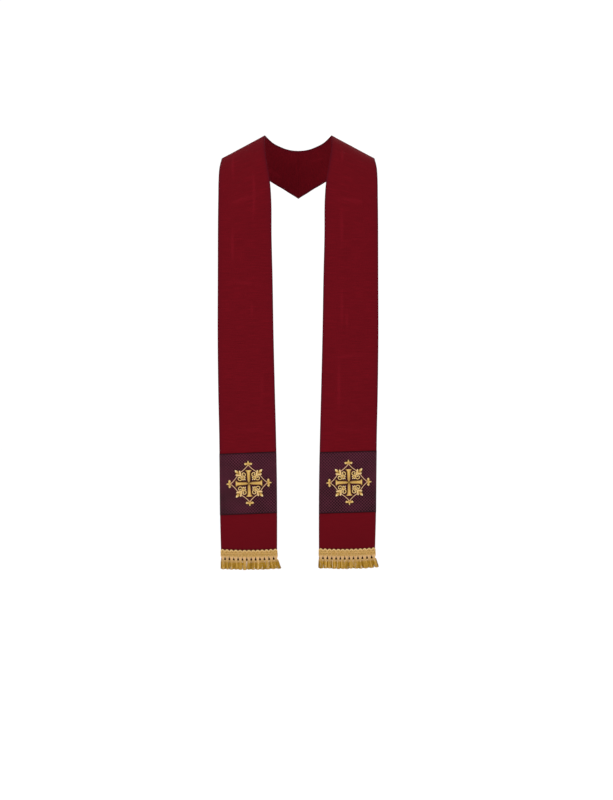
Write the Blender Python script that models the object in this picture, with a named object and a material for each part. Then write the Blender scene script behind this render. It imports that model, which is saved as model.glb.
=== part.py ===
"""A clerical stole as it hangs on a wearer: a long band of cloth round the neck, its two ends in front.

Metres, +Z up. The front faces -Y and +X is the wearer's left. The origin is the middle of the neck
opening, level with the two points where the stole crosses the shoulders beside the neck.

Each half is one strip, cut from the centre back seam to the hem. It folds over a sloping shoulder, so
its outer face is worked out from two numbers: x, the place across the body, and t, the way over the
shoulder from the crest, positive down the front and negative down the back. What lies on a strip is
made from its points, moved out. The wearer's right half is worked out as a left one and mirrored.
"""

import math
from collections import namedtuple

import bmesh
import bpy
import numpy as np

# The general figure that holds the stole up: each side of a shoulder falls as a quarter of an ellipse
SHOULDER_SLOPE = math.radians(28.2)
NECK_HALF = 0.0845
CHEST_REACH = 0.120
CHEST_DROP = 0.190
BACK_REACH = 0.098
BACK_DROP = 0.150
PLUMB_LENGTH = 1.2
PROFILE_POINTS = 181
NAPE_HALF = 0.050
CHEST_ROUND = 0.016
CHEST_ROUND_AT_HEM = 0.010
ROUND_START = 0.060
ROUND_WIDTH = 0.140
ROUND_FULL_AT = 0.20

# The cloth
CLOTH = 0.0020
SEAM_GAP = 0.0003
LAY_GAP = 0.0003
HEM_Z = -1.0775
HEM_SAG = 0.0026
HEM_TURN = math.radians(0.6)
HEM_WIDTH = 0.1415
HEM_BEND_START_Z = -0.965
CELLS_ACROSS = 8
YOKE_ROWS = 24
FRONT_ROWS = 20

# What differs between the two hanging ends. Each turn is anticlockwise as seen from the front
End = namedtuple("End", "outward band_z band_turn motif_x motif_z motif_turn hem_rise")
ENDS = {
    "left": End(1, -0.8832, math.radians(1.4), 0.1272, -0.8838, math.radians(1.5), 0.0013),
    "right": End(-1, -0.8865, math.radians(2.5), 0.1224, -0.8863, math.radians(2.4), -0.0013),
}

# Both edges of the strip. sheet is -1 behind the shoulder's crest and 1 in front of it
Section = namedtuple("Section", "name sheet inner_x inner_z outer_x outer_z")
SECTIONS = (
    Section("centre back", -1, 0.0000, -0.0300, 0.0000, -0.1530),
    Section("beside the seam", -1, 0.0125, -0.0293, 0.0220, -0.1390),
    Section("nape", -1, 0.0250, -0.0274, 0.0450, -0.1245),
    Section("back of neck", -1, 0.0500, -0.0195, 0.0960, -0.0940),
    Section("back of shoulder", -1, 0.0720, -0.0082, 0.1500, -0.0680),
    Section("crest", 1, 0.0845, 0.0000, 0.1920, -0.0576),
    Section("front of shoulder", 1, 0.0848, -0.0180, 0.1965, -0.0705),
    Section("collar", 1, 0.0842, -0.0400, 0.1995, -0.0880),
    Section("collar bone", 1, 0.0780, -0.0850, 0.2010, -0.1250),
    Section("upper chest", 1, 0.0702, -0.1320, 0.2010, -0.1650),
    Section("chest", 1, 0.0668, -0.1780, 0.2012, -0.2050),
    Section("breast", 1, 0.0660, -0.2650, 0.2013, -0.2650),
    Section("below the breast", 1, 0.0636, -0.3650, 0.2015, -0.3650),
    Section("waist", 1, 0.0610, -0.5150, 0.2018, -0.5150),
    Section("hip", 1, 0.0574, -0.6650, 0.2000, -0.6650),
    Section("above the band", 1, 0.0548, -0.7650, 0.1978, -0.7650),
    Section("band", 1, 0.0528, -0.8650, 0.1965, -0.8650),
    Section("below the band", 1, 0.0520, -0.9650, 0.1955, -0.9650),
    Section("hem", 1, 0.0522, HEM_Z, 0.1925, HEM_Z),
)
FRONT_SECTIONS = [section for section in SECTIONS if section.sheet > 0]
FIRST_PLUMB_SECTION = "breast"

# Long soft folds down the fronts. across is the share of the width from the inner edge
Fold = namedtuple("Fold", "across top bottom height half_width")
SOFT_FOLDS = {
    "left": (
        Fold(0.30, -0.10, -0.66, 0.0024, 0.017),
        Fold(0.52, -0.46, -0.98, 0.0016, 0.020),
        Fold(0.80, -0.14, -0.50, 0.0014, 0.018),
    ),
    "right": (
        Fold(0.36, -0.09, -0.48, 0.0020, 0.018),
        Fold(0.70, -0.10, -0.58, 0.0024, 0.017),
        Fold(0.45, -0.55, -1.00, 0.0015, 0.022),
    ),
}

# The brocade band sewn across each front
BAND_HEIGHT = 0.1540
BAND_THICK = 0.0010
BAND_ROWS = 6

# The embroidered cross and the scrollwork round it, in millimetres from the cross's middle
MM = 0.001
ArmStation = namedtuple("ArmStation", "along half_width")
CROSS_ARM = (
    ArmStation(4.0, 4.0),
    ArmStation(9.0, 4.3),
    ArmStation(26.0, 4.5),
    ArmStation(30.0, 5.6),
    ArmStation(32.2, 8.2),
    ArmStation(33.4, 8.6),
)
CROSS_EDGE_HEIGHT = 0.9
CROSS_RIDGE_HEIGHT = 1.7
CROSS_MIDDLE_HEIGHT = 0.8

# Two S scrolls in each quarter cross on the diagonal: an eye, a turn and a bar that ends as a leaf.
# Radii and widths go by the share of the way along. Guides draw a curve towards them
EYE_CENTRE = (12.8, 22.3)
TURN_RADII = ((0.0, 1.7), (0.45, 4.0), (0.8, 4.7), (1.0, 5.5))
JOIN_ANGLE = -57.0
SCROLL_TURNS = 1.08
BAR_GUIDES = ((19.5, 19.8), (26.0, 20.6), (32.6, 22.6))
SCROLL_WIDTHS = (
    (0.0, 1.9),
    (0.25, 2.4),
    (0.62, 2.6),
    (0.72, 2.3),
    (0.84, 4.6),
    (0.93, 4.8),
    (1.0, 1.2),
)
TURN_POINTS = 12
BAR_POINTS = 7
SPINE = (12.0, 27.0)
SPINE_WIDTH = 2.2
SPINE_POINTS = 4
LINE_GUIDES = ((0.6, 46.0), (7.5, 36.0), (21.5, 27.5))
LINE_WIDTH = 1.9
LINE_POINTS = 6
SCROLL_HEIGHT = 1.3
UPPER_SCROLL_HEIGHT = 1.35
SPINE_HEIGHT = 1.1
LINE_HEIGHT = 0.9
WELD_MM = 0.02
FLAT_ANGLE = math.radians(0.5)

# Leaf outlines: width as a share of the greatest, from root to tip
POINTED = ((0.0, 0.40), (0.25, 0.78), (0.5, 1.0), (0.75, 0.72), (1.0, 0.14))
BLUNT = ((0.0, 0.45), (0.35, 0.66), (0.7, 1.0), (0.9, 0.92), (1.0, 0.50))
# Leaves stand in groups on an axis: turn at the root, bend on the way to the tip, both in degrees
Leaf = namedtuple("Leaf", "root turn bend length width outline height")
TIP_LEAVES = (
    Leaf(44.5, 0.0, 0.0, 12.6, 4.4, POINTED, 1.8),
    Leaf(45.5, 38.0, 62.0, 12.0, 5.0, BLUNT, 1.5),
    Leaf(45.5, -38.0, -62.0, 12.0, 5.0, BLUNT, 1.4),
)
CORNER_LEAVES = (Leaf(36.0, 0.0, 0.0, 11.6, 5.8, POINTED, 1.8),)
INNER_LEAVES = (
    Leaf(-18.2, 0.0, 0.0, 6.4, 3.6, POINTED, 1.5),
    Leaf(-18.2, 70.0, 0.0, 5.2, 2.9, BLUNT, 1.3),
    Leaf(-18.2, -70.0, 0.0, 5.2, 2.9, BLUNT, 1.2),
)

# The fringe: a scalloped braid, a row of triangular gaps and the tassels under it. Levels are those
# before the hem's own bend. Shares are of a tassel's pitch
TASSELS = 13
STRANDS_EACH = 9
FRINGE_TOP_Z = -1.0494
SCALLOP = 0.0020
GAP_TOP_Z = -1.0660
GAP_BOTTOM_Z = -1.0748
GAP_HALF = 0.0028
ROOT_Z = -1.0775
TIP_Z = -1.0988
BRAID_THICK = 0.0022
BRAID_OVERHANG = 0.0006
ROOT_SHARE = 0.86
STRAND_SHARE = 0.72
TIP_SHARE = 0.97
STRAND_DEPTH = 0.0015
TASSEL_DEPTH = 0.0021
TASSEL_ROUND = 0.0012
EDGE_THINNING = 0.55
STRAND_STATIONS = (0.45, 1.0)
FLARE = 0.0095
FLARE_START = 0.50

# Colours, roughness and sheen of the four materials
Finish = namedtuple("Finish", "colour roughness metallic sheen")
FINISHES = {
    "burgundy_cloth": Finish((0.138, 0.0045, 0.0095), 0.85, 0.0, 0.25),
    "aubergine_brocade": Finish((0.070, 0.018, 0.030), 0.60, 0.0, 0.35),
    "gold_embroidery": Finish((0.520, 0.330, 0.085), 0.42, 0.55, 0.20),
    "gold_fringe": Finish((0.440, 0.255, 0.055), 0.48, 0.45, 0.25),
}


def shoulder_profile(reach, drop):
    """Quarter of an ellipse from the crest and then plumb: arc length, reach and drop, point by point."""
    turn = np.linspace(0.0, math.pi / 2, PROFILE_POINTS)
    out = np.append(reach * np.sin(turn), reach)
    down = np.append(drop * (1.0 - np.cos(turn)), drop + PLUMB_LENGTH)
    arc = np.append(0.0, np.cumsum(np.hypot(np.diff(out), np.diff(down))))
    return arc, out, down


CHEST = shoulder_profile(CHEST_REACH, CHEST_DROP)
BACK = shoulder_profile(BACK_REACH, BACK_DROP)


def across_slope(x):
    """Distance from the neck point along x, eased to a round nape near the centre back seam."""
    eased = np.where(x < NAPE_HALF, x * x / (2 * NAPE_HALF) + NAPE_HALF / 2, x)
    return eased - NECK_HALF


def way_over(x, z, sheet):
    """t of a point that is seen at x and z, on the front sheet (1) or the back one (-1)."""
    drop = -(across_slope(x) * math.sin(SHOULDER_SLOPE) + z * math.cos(SHOULDER_SLOPE))
    arc, _, down = CHEST if sheet > 0 else BACK
    return sheet * np.interp(drop, down, arc)


def smooth_step(share):
    """Goes from 0 to 1 with no kink at either end."""
    share = np.clip(share, 0.0, 1.0)
    return share * share * (3.0 - 2.0 * share)


def smooth(stations, values, at):
    """Cubic through the values, with each slope taken from its two neighbours."""
    slopes = np.gradient(values, stations)
    k = np.clip(np.searchsorted(stations, at) - 1, 0, len(stations) - 2)
    step = stations[k + 1] - stations[k]
    u = (at - stations[k]) / step
    return (
        values[k] * (1 + 2 * u) * (1 - u) ** 2
        + slopes[k] * step * u * (1 - u) ** 2
        + values[k + 1] * u * u * (3 - 2 * u)
        + slopes[k + 1] * step * u * u * (u - 1)
    )


def section_values():
    """Both edges' x and t at each section, and the sections' stations along the strip's middle."""
    sheet, inner_x, inner_z, outer_x, outer_z = np.array([s[1:] for s in SECTIONS]).T
    inner_t = np.array([way_over(x, z, s) for x, z, s in zip(inner_x, inner_z, sheet)])
    outer_t = np.array([way_over(x, z, s) for x, z, s in zip(outer_x, outer_z, sheet)])
    steps = np.hypot(np.diff(inner_x + outer_x) / 2, np.diff(inner_t + outer_t) / 2)
    return np.append(0.0, np.cumsum(steps)), inner_x, inner_t, outer_x, outer_t


STATIONS, INNER_X, INNER_T, OUTER_X, OUTER_T = section_values()
PLUMB_STATION = STATIONS[[s.name for s in SECTIONS].index(FIRST_PLUMB_SECTION)]


def fold_height(x, z, side):
    """How far the soft folds of one side stand out, each a long bell that fades at both ends."""
    edge_in = np.interp(-z, [-s.inner_z for s in FRONT_SECTIONS], [s.inner_x for s in FRONT_SECTIONS])
    edge_out = np.interp(-z, [-s.outer_z for s in FRONT_SECTIONS], [s.outer_x for s in FRONT_SECTIONS])
    height = np.zeros_like(z)
    for fold in SOFT_FOLDS[side]:
        middle = edge_in + fold.across * (edge_out - edge_in)
        along = np.clip((fold.top - z) / (fold.top - fold.bottom), 0.0, 1.0)
        bell = np.exp(-(((x - middle) / fold.half_width) ** 2))
        height += fold.height * np.sin(math.pi * along) ** 2 * bell
    return height


def outer_face(x, t, side):
    """Points of the wearer's left half's outer face, with the soft folds of the side that it stands for."""
    x, t = np.broadcast_arrays(np.asarray(x, float), np.asarray(t, float))
    front = t > 0
    way = np.abs(t)
    reach = np.where(front, np.interp(way, CHEST[0], CHEST[1]), np.interp(way, BACK[0], BACK[1]))
    drop = np.where(front, np.interp(way, CHEST[0], CHEST[2]), np.interp(way, BACK[0], BACK[2]))
    z = (-drop - across_slope(x) * math.sin(SHOULDER_SLOPE)) / math.cos(SHOULDER_SLOPE)
    roundness = np.interp(-z, [ROUND_FULL_AT, -HEM_Z], [CHEST_ROUND, CHEST_ROUND_AT_HEM])
    back_off = roundness * ((x - ROUND_START) / ROUND_WIDTH) ** 2 * smooth_step(way / ROUND_FULL_AT)
    y = np.where(front, -reach + back_off - fold_height(x, z, side), reach)
    return np.stack([x, y, z], axis=-1)


def face_normal(x, t, side):
    """Unit normal of the outer face, away from the wearer, from differences half a millimetre wide."""
    step = 0.00025
    over_x = outer_face(x + step, t, side) - outer_face(x - step, t, side)
    over_t = outer_face(x, t + step, side) - outer_face(x, t - step, side)
    normal = np.cross(over_t, over_x)
    return normal / np.linalg.norm(normal, axis=-1, keepdims=True)


def moved_out(x, t, height, side):
    """Points that lie height above the outer face."""
    return outer_face(x, t, side) + face_normal(x, t, side) * np.asarray(height, float)[..., None]


def on_front(x, z, height, side):
    """Points that lie height above the front, given by the x and z at which they are seen."""
    return moved_out(x, way_over(x, z, 1), height, side)


def edges_at(z):
    """x of the inner and of the outer edge where the front hangs plumb."""
    plumb = STATIONS >= PLUMB_STATION
    heights = np.array([s.inner_z for s in SECTIONS])[plumb]
    return smooth(-heights, INNER_X[plumb], -z), smooth(-heights, OUTER_X[plumb], -z)


def hem_bend(z, share, side):
    """How much lower a row runs near the hem: its sag in the middle, its own turn and its end's rise."""
    down = np.clip((HEM_BEND_START_Z - z) / (HEM_BEND_START_Z - HEM_Z), 0.0, None)
    sag = HEM_SAG * (1.0 - (2.0 * share - 1.0) ** 2)
    slope = ENDS[side].outward * math.tan(HEM_TURN) * (share - 0.5) * HEM_WIDTH
    return np.minimum(down**2, 1.0) * (sag - slope - ENDS[side].hem_rise)


def material(slot):
    """The one material of a slot, made when it is first asked for."""
    found = bpy.data.materials.get(slot)
    if found:
        return found
    finish = FINISHES[slot]
    made = bpy.data.materials.new(slot)
    made.use_nodes = True
    shader = made.node_tree.nodes["Principled BSDF"]
    shader.inputs["Base Color"].default_value = (*finish.colour, 1.0)
    shader.inputs["Roughness"].default_value = finish.roughness
    shader.inputs["Metallic"].default_value = finish.metallic
    shader.inputs["Sheen Weight"].default_value = finish.sheen
    return made


def add_solid(name, points, faces, slot, side):
    """One closed object, mirrored when it belongs to the wearer's right half."""
    points = np.asarray(points, float).reshape(-1, 3)
    if side == "right":
        points = points * (-1.0, 1.0, 1.0)
    mesh = bpy.data.meshes.new(name)
    mesh.from_pydata(points.tolist(), [], [list(face) for face in faces])
    body = bmesh.new()
    body.from_mesh(mesh)
    bmesh.ops.triangulate(body, faces=[f for f in body.faces if len(f.verts) > 4])
    bmesh.ops.recalc_face_normals(body, faces=body.faces)
    body.to_mesh(mesh)
    body.free()
    mesh.shade_smooth()
    mesh.set_sharp_from_angle(angle=math.radians(40))
    mesh.materials.append(material(slot))
    obj = bpy.data.objects.new(name, mesh)
    bpy.context.scene.collection.objects.link(obj)
    return obj


def border_of(faces):
    """Directed edges that belong to one face only."""
    edges = [(a, b) for face in faces for a, b in zip(face, face[1:] + face[:1])]
    known = set(edges)
    return [(a, b) for a, b in edges if (b, a) not in known]


def wall_faces(faces, count, open_edges=()):
    """Faces of a wall: its outer points are 0 to count - 1, its inner points follow in the same order."""
    inner = [[count + i for i in reversed(face)] for face in faces]
    rims = [[b, a, count + a, count + b] for a, b in border_of(faces) if (a, b) not in open_edges]
    return [list(face) for face in faces] + inner + rims


def grid_faces(rows, columns):
    """Quads between the points of a grid, row by row."""
    return [
        [r * columns + c, r * columns + c + 1, (r + 1) * columns + c + 1, (r + 1) * columns + c]
        for r in range(rows - 1)
        for c in range(columns - 1)
    ]


def add_wall(name, outside, inside, slot, side):
    """A wall between two grids of points."""
    rows, columns = outside.shape[:2]
    faces = wall_faces(grid_faces(rows, columns), rows * columns)
    return add_solid(name, np.concatenate([outside, inside]), faces, slot, side)


def build_strip(side):
    """Half of the stole, in one piece from the centre back seam to the hem."""
    yoke = np.linspace(0.0, PLUMB_STATION, YOKE_ROWS, endpoint=False)
    hanging = np.linspace(PLUMB_STATION, STATIONS[-1], FRONT_ROWS)
    at = np.concatenate([yoke, hanging])[:, None]
    share = np.linspace(0.0, 1.0, CELLS_ACROSS + 1)[None, :]
    inner_x, outer_x = smooth(STATIONS, INNER_X, at), smooth(STATIONS, OUTER_X, at)
    inner_t, outer_t = smooth(STATIONS, INNER_T, at), smooth(STATIONS, OUTER_T, at)
    x = inner_x + share * (outer_x - inner_x)
    t = inner_t + share * (outer_t - inner_t)
    t = t + hem_bend(outer_face(x, t, side)[..., 2], share, side)
    outside = outer_face(x, t, side)
    inside = moved_out(x, t, np.full(x.shape, -CLOTH), side)
    # Both halves stop short of the middle, so that the seam between them stays open by its gap
    outside[0, :, 0] = inside[0, :, 0] = SEAM_GAP / 2
    return add_wall(f"stole_{side}", outside, inside, "burgundy_cloth", side)


def build_band(side):
    """The brocade band, laid on the strip from edge to edge."""
    end = ENDS[side]
    share = np.linspace(0.0, 1.0, CELLS_ACROSS + 1)[None, :]
    level = end.band_z + BAND_HEIGHT * np.linspace(0.5, -0.5, BAND_ROWS + 1)[:, None]
    inner_x, outer_x = edges_at(level)
    z = level + end.outward * math.tan(end.band_turn) * (share - 0.5) * (outer_x - inner_x)
    inner_x, outer_x = edges_at(z)
    x = inner_x + share * (outer_x - inner_x)
    outside = on_front(x, z, np.full(x.shape, LAY_GAP + BAND_THICK), side)
    inside = on_front(x, z, np.full(x.shape, LAY_GAP), side)
    return add_wall(f"band_{side}", outside, inside, "aubergine_brocade", side)


def on_band(points, heights, side):
    """Points of the embroidery, turned as their end's motif is and laid on the band at their heights."""
    end = ENDS[side]
    across, up = (np.asarray(points, float) * MM).T
    turn = end.outward * end.motif_turn
    x = end.motif_x + across * math.cos(turn) - up * math.sin(turn)
    z = end.motif_z + across * math.sin(turn) + up * math.cos(turn)
    base = LAY_GAP + BAND_THICK + LAY_GAP
    return on_front(x, z, base + np.asarray(heights, float) * MM, side)


def build_cross(side):
    """A cross of four equal arms with spread ends, each arm highest along its middle."""
    flat, heights, faces = [(0.0, 0.0)], [CROSS_MIDDLE_HEIGHT], []
    profile = ((-1, CROSS_EDGE_HEIGHT), (0, CROSS_RIDGE_HEIGHT), (1, CROSS_EDGE_HEIGHT))
    for arm in range(4):
        cos, sin = math.cos(arm * math.pi / 2), math.sin(arm * math.pi / 2)
        start = len(flat)
        for station in CROSS_ARM:
            for side_of_arm, height in profile:
                off = side_of_arm * station.half_width
                flat.append((station.along * cos - off * sin, station.along * sin + off * cos))
                heights.append(height)
        strip = grid_faces(len(CROSS_ARM), len(profile))
        faces += [[start + i for i in reversed(face)] for face in strip]
        faces += [[start, start + 1, 0], [start + 1, start + 2, 0]]
    flat, heights, faces = shared_corners(flat, heights, faces)
    outside = on_band(flat, heights, side)
    inside = on_band(flat, np.zeros(len(flat)), side)
    walls = wall_faces(faces, len(flat))
    return add_solid(f"cross_{side}", [*outside, *inside], walls, "gold_embroidery", side)


def shared_corners(flat, heights, faces):
    """Makes one point of those at the same place, where two arms of the cross meet."""
    places, order = {}, []
    for point in flat:
        order.append(places.setdefault((round(point[0], 4), round(point[1], 4)), len(places)))
    first = [order.index(i) for i in range(len(places))]
    return [flat[i] for i in first], [heights[i] for i in first], [[order[i] for i in face] for face in faces]


def stroke(path, widths, height):
    """Points and faces of a flat bar along a path, in millimetres, with a width at each point."""
    path, widths = np.asarray(path, float), np.asarray(widths, float)
    run = np.gradient(path, axis=0)
    run /= np.linalg.norm(run, axis=1, keepdims=True)
    left = np.stack([-run[:, 1], run[:, 0]], axis=1) * widths[:, None] / 2
    flat = np.concatenate([path - left, path + left])
    count = len(path)
    faces = [[i, i + 1, count + i + 1, count + i] for i in range(count - 1)]
    points = [(*p, height) for p in flat] + [(*p, 0.0) for p in flat]
    return points, wall_faces(faces, 2 * count)


def leaf(root, heading, shape):
    """A leaf on an arc from its root, with the width that its outline gives it along the way."""
    along, wide = np.array(shape.outline).T
    bend = math.radians(shape.bend) * along
    # A chord of an arc is shorter than the arc by sin(half the bend) over half the bend
    reach = shape.length * along * np.sinc(bend / (2 * math.pi))
    way = heading + bend / 2
    path = np.asarray(root) + np.stack([reach * np.cos(way), reach * np.sin(way)], axis=1)
    return stroke(path, wide * shape.width, shape.height)


def leaves_on_axis(leaves, angle):
    """Leaves rooted on a line out from the motif's middle. Those with a negative root point back in."""
    axis = np.array([math.cos(angle), math.sin(angle)])
    back = math.pi if leaves[0].root < 0 else 0.0
    return [leaf(abs(each.root) * axis, angle + back + math.radians(each.turn), each) for each in leaves]


def curve(guides, count):
    """Bezier curve from the first guide to the last, drawn towards those between."""
    share = np.linspace(0.0, 1.0, count)[:, None, None]
    guides = np.broadcast_to(np.asarray(guides, float), (count, len(guides), 2))
    while guides.shape[1] > 1:
        guides = guides[:, :-1] * (1 - share) + guides[:, 1:] * share
    return guides[:, 0]


def scroll():
    """Path and widths of one S scroll: out of its eye, round the turn and along the bar to a leaf's tip."""
    share = np.linspace(0.0, 1.0, TURN_POINTS)
    radius = np.interp(share, *np.array(TURN_RADII).T)
    angle = np.radians(JOIN_ANGLE - (1 - share) * SCROLL_TURNS * 360)
    turn = np.stack([radius * np.cos(angle), radius * np.sin(angle)], axis=1) + EYE_CENTRE
    bar = curve([turn[-1], *BAR_GUIDES], BAR_POINTS)
    path = np.concatenate([turn, bar[1:]])
    steps = np.linalg.norm(np.diff(path, axis=0), axis=1)
    run = np.append(0.0, np.cumsum(steps)) / steps.sum()
    return path, np.interp(run, *np.array(SCROLL_WIDTHS).T)


def scrollwork_strokes():
    """Every bar and leaf of the scrollwork: one quarter's, turned four times."""
    diagonal = math.radians(45)
    path, widths = scroll()
    line = curve(LINE_GUIDES, LINE_POINTS)
    spine = np.linspace(*SPINE, SPINE_POINTS)
    quarter = [
        stroke(path, widths, SCROLL_HEIGHT),
        stroke(path[:, ::-1], widths, UPPER_SCROLL_HEIGHT),
        stroke(np.stack([spine, spine], axis=1), [SPINE_WIDTH] * SPINE_POINTS, SPINE_HEIGHT),
        stroke(line, [LINE_WIDTH] * LINE_POINTS, LINE_HEIGHT),
        stroke(line[:, ::-1], [LINE_WIDTH] * LINE_POINTS, LINE_HEIGHT),
        *leaves_on_axis(CORNER_LEAVES, diagonal),
        *leaves_on_axis(INNER_LEAVES, diagonal),
        *leaves_on_axis(TIP_LEAVES, math.radians(90)),
    ]
    for number in range(4):
        cos, sin = math.cos(number * math.pi / 2), math.sin(number * math.pi / 2)
        for points, faces in quarter:
            x, y, height = np.asarray(points).T
            yield np.stack([x * cos - y * sin, x * sin + y * cos, height], axis=1), faces


def flat_object(name, parts):
    """One object that holds several closed bars side by side, with their normals pointing out."""
    points, faces = [], []
    for part_points, part_faces in parts:
        faces += [[len(points) + i for i in face] for face in part_faces]
        points += [tuple(p) for p in part_points]
    mesh = bpy.data.meshes.new(name)
    mesh.from_pydata(points, [], faces)
    body = bmesh.new()
    body.from_mesh(mesh)
    bmesh.ops.recalc_face_normals(body, faces=body.faces)
    body.to_mesh(mesh)
    body.free()
    obj = bpy.data.objects.new(name, mesh)
    bpy.context.scene.collection.objects.link(obj)
    return obj


def joined_scrollwork():
    """The scrollwork's bars and leaves made one flat body by a Boolean union, as points and triangles."""
    strokes = list(scrollwork_strokes())
    body = flat_object("bars", strokes[1:])
    first = flat_object("first_bar", strokes[:1])
    union = body.modifiers.new("join", "BOOLEAN")
    union.operation = "UNION"
    union.solver = "EXACT"
    union.use_self = True
    union.object = first
    evaluated = body.evaluated_get(bpy.context.evaluated_depsgraph_get())
    shape = bmesh.new()
    shape.from_mesh(evaluated.to_mesh())
    bmesh.ops.remove_doubles(shape, verts=shape.verts, dist=WELD_MM)
    bmesh.ops.dissolve_limit(shape, angle_limit=FLAT_ANGLE, verts=shape.verts, edges=shape.edges)
    bmesh.ops.triangulate(shape, faces=shape.faces)
    shape.verts.index_update()
    points = np.array([v.co for v in shape.verts])
    faces = [[v.index for v in f.verts] for f in shape.faces]
    shape.free()
    for obj in (body, first):
        bpy.data.objects.remove(obj)
    return points, faces


def build_scrollwork(side, points, faces):
    laid = on_band(points[:, :2], points[:, 2], side)
    return add_solid(f"scrollwork_{side}", laid, faces, "gold_embroidery", side)


def braid_plan():
    """Points (share across, level) and faces of the flat braid, and each strand's root edge in it."""
    points, index = [], {}

    def at(share, level):
        """Number of the point at this place, made when it is first asked for."""
        key = (round(share, 6), round(level, 6))
        if key not in index:
            index[key] = len(points)
            points.append((share, level))
        return index[key]

    pitch = 1.0 / TASSELS
    gap = GAP_HALF / HEM_WIDTH
    strand_pitch = pitch * ROOT_SHARE / STRANDS_EACH
    faces, roots = [], []
    for tassel in range(TASSELS):
        left, middle, right = tassel * pitch, (tassel + 0.5) * pitch, (tassel + 1) * pitch
        first, last = tassel == 0, tassel == TASSELS - 1
        scallop = [
            at(left + step * pitch / 4, FRINGE_TOP_Z + SCALLOP * (math.sin(math.pi * step / 4) - 0.5))
            for step in range(5)
        ]
        apex_left, below, apex_right = at(left, GAP_TOP_Z), at(middle, GAP_TOP_Z), at(right, GAP_TOP_Z)
        foot_left = at(left if first else left + gap, GAP_BOTTOM_Z)
        foot_right = at(right if last else right - gap, GAP_BOTTOM_Z)
        bottom = []
        for strand in range(STRANDS_EACH):
            centre = middle + (strand - (STRANDS_EACH - 1) / 2) * strand_pitch
            half = strand_pitch * STRAND_SHARE / 2
            root = at(centre - half, ROOT_Z), at(centre + half, ROOT_Z)
            roots.append((tassel, strand, *root))
            bottom += root
        faces.append([*scallop[:3], below, apex_left])
        faces.append([*scallop[2:], apex_right, below])
        faces.append([apex_left, below, apex_right, foot_right, foot_left])
        end_left = [at(left, ROOT_Z)] if first else []
        end_right = [at(right, ROOT_Z)] if last else []
        faces.append([foot_left, foot_right, *end_right, *reversed(bottom), *end_left])
        if not first:
            # The bar under the gap joins this tassel's head to the one before it
            faces.append([at(left - gap, GAP_BOTTOM_Z), foot_left, bottom[0], previous_corner])
        previous_corner = bottom[-1]
    return points, faces, roots


def fringe_places(shares, levels, heights, side):
    """Points of the fringe, which sags with the hem and leans to the right as seen from the front."""
    share, level = np.asarray(shares, float), np.asarray(levels, float)
    inner_x, outer_x = edges_at(np.maximum(level, HEM_Z))
    from_left = share if side == "left" else 1.0 - share
    depth = np.clip((FRINGE_TOP_Z - level) / (FRINGE_TOP_Z - TIP_Z), 0.0, 1.0)
    lean = FLARE * smooth_step((from_left - FLARE_START) / (1 - FLARE_START)) ** 2 * depth**2
    x = inner_x - BRAID_OVERHANG + share * (outer_x - inner_x + 2 * BRAID_OVERHANG)
    x = x + ENDS[side].outward * lean
    return on_front(x, level - hem_bend(HEM_Z, share, side), heights, side)


def build_fringe(side):
    """Braid and tassels in one body: each strand grows from its own root in the braid's lower edge."""
    plan, faces, roots = braid_plan()
    shares, levels = np.array(plan).T
    count = len(plan)
    outside = fringe_places(shares, levels, np.full(count, LAY_GAP + BRAID_THICK), side)
    inside = fringe_places(shares, levels, np.full(count, LAY_GAP), side)
    points = [*outside, *inside]
    walls = wall_faces(faces, count, {(b, a) for _, _, a, b in roots})
    pitch = 1.0 / TASSELS
    for tassel, strand, a, b in roots:
        off_middle = strand - (STRANDS_EACH - 1) / 2
        edge = (2 * off_middle / (STRANDS_EACH - 1)) ** 2
        layer = 1 if (strand + tassel) % 2 else -1
        ring = [a, b, count + b, count + a]
        for way_down in STRAND_STATIONS:
            level = ROOT_Z + (TIP_Z + TASSEL_ROUND * edge - ROOT_Z) * way_down
            spacing = pitch * (ROOT_SHARE + (TIP_SHARE - ROOT_SHARE) * way_down) / STRANDS_EACH
            centre = (tassel + 0.5) * pitch + off_middle * spacing
            half = spacing * STRAND_SHARE / 2
            middle = LAY_GAP + BRAID_THICK / 2
            middle += layer * TASSEL_DEPTH * math.sqrt(way_down) * (1 - EDGE_THINNING * edge)
            front, back = middle + STRAND_DEPTH / 2, middle - STRAND_DEPTH / 2
            corners = [centre - half, centre + half, centre + half, centre - half]
            following = list(range(len(points), len(points) + 4))
            points += list(fringe_places(corners, [level] * 4, [front, front, back, back], side))
            walls += [[ring[i], ring[(i + 1) % 4], following[(i + 1) % 4], following[i]] for i in range(4)]
            ring = following
        walls.append(list(reversed(ring)))
    return add_solid(f"fringe_{side}", points, walls, "gold_fringe", side)


def main():
    for obj in list(bpy.data.objects):
        bpy.data.objects.remove(obj)
    scroll_points, scroll_faces = joined_scrollwork()
    for side in ("left", "right"):
        build_strip(side)
        build_band(side)
        build_cross(side)
        build_scrollwork(side, scroll_points, scroll_faces)
        build_fringe(side)


main()
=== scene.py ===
# %% [markdown]
# # A clerical stole, from its bare solids to its cloth, embroidery and fringe
#
# A stole is a long band of cloth that hangs round the neck with both ends down the front. This one is
# burgundy dupion, with a dark brocade band near each end, an embroidered cross on the band and a gold
# tassel fringe at the hem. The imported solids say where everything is. Every visible piece here is a finer
# surface on the same form, worked out with numpy as a function of two numbers and given its own finish.

import math
from collections import namedtuple
from functools import partial

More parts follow.
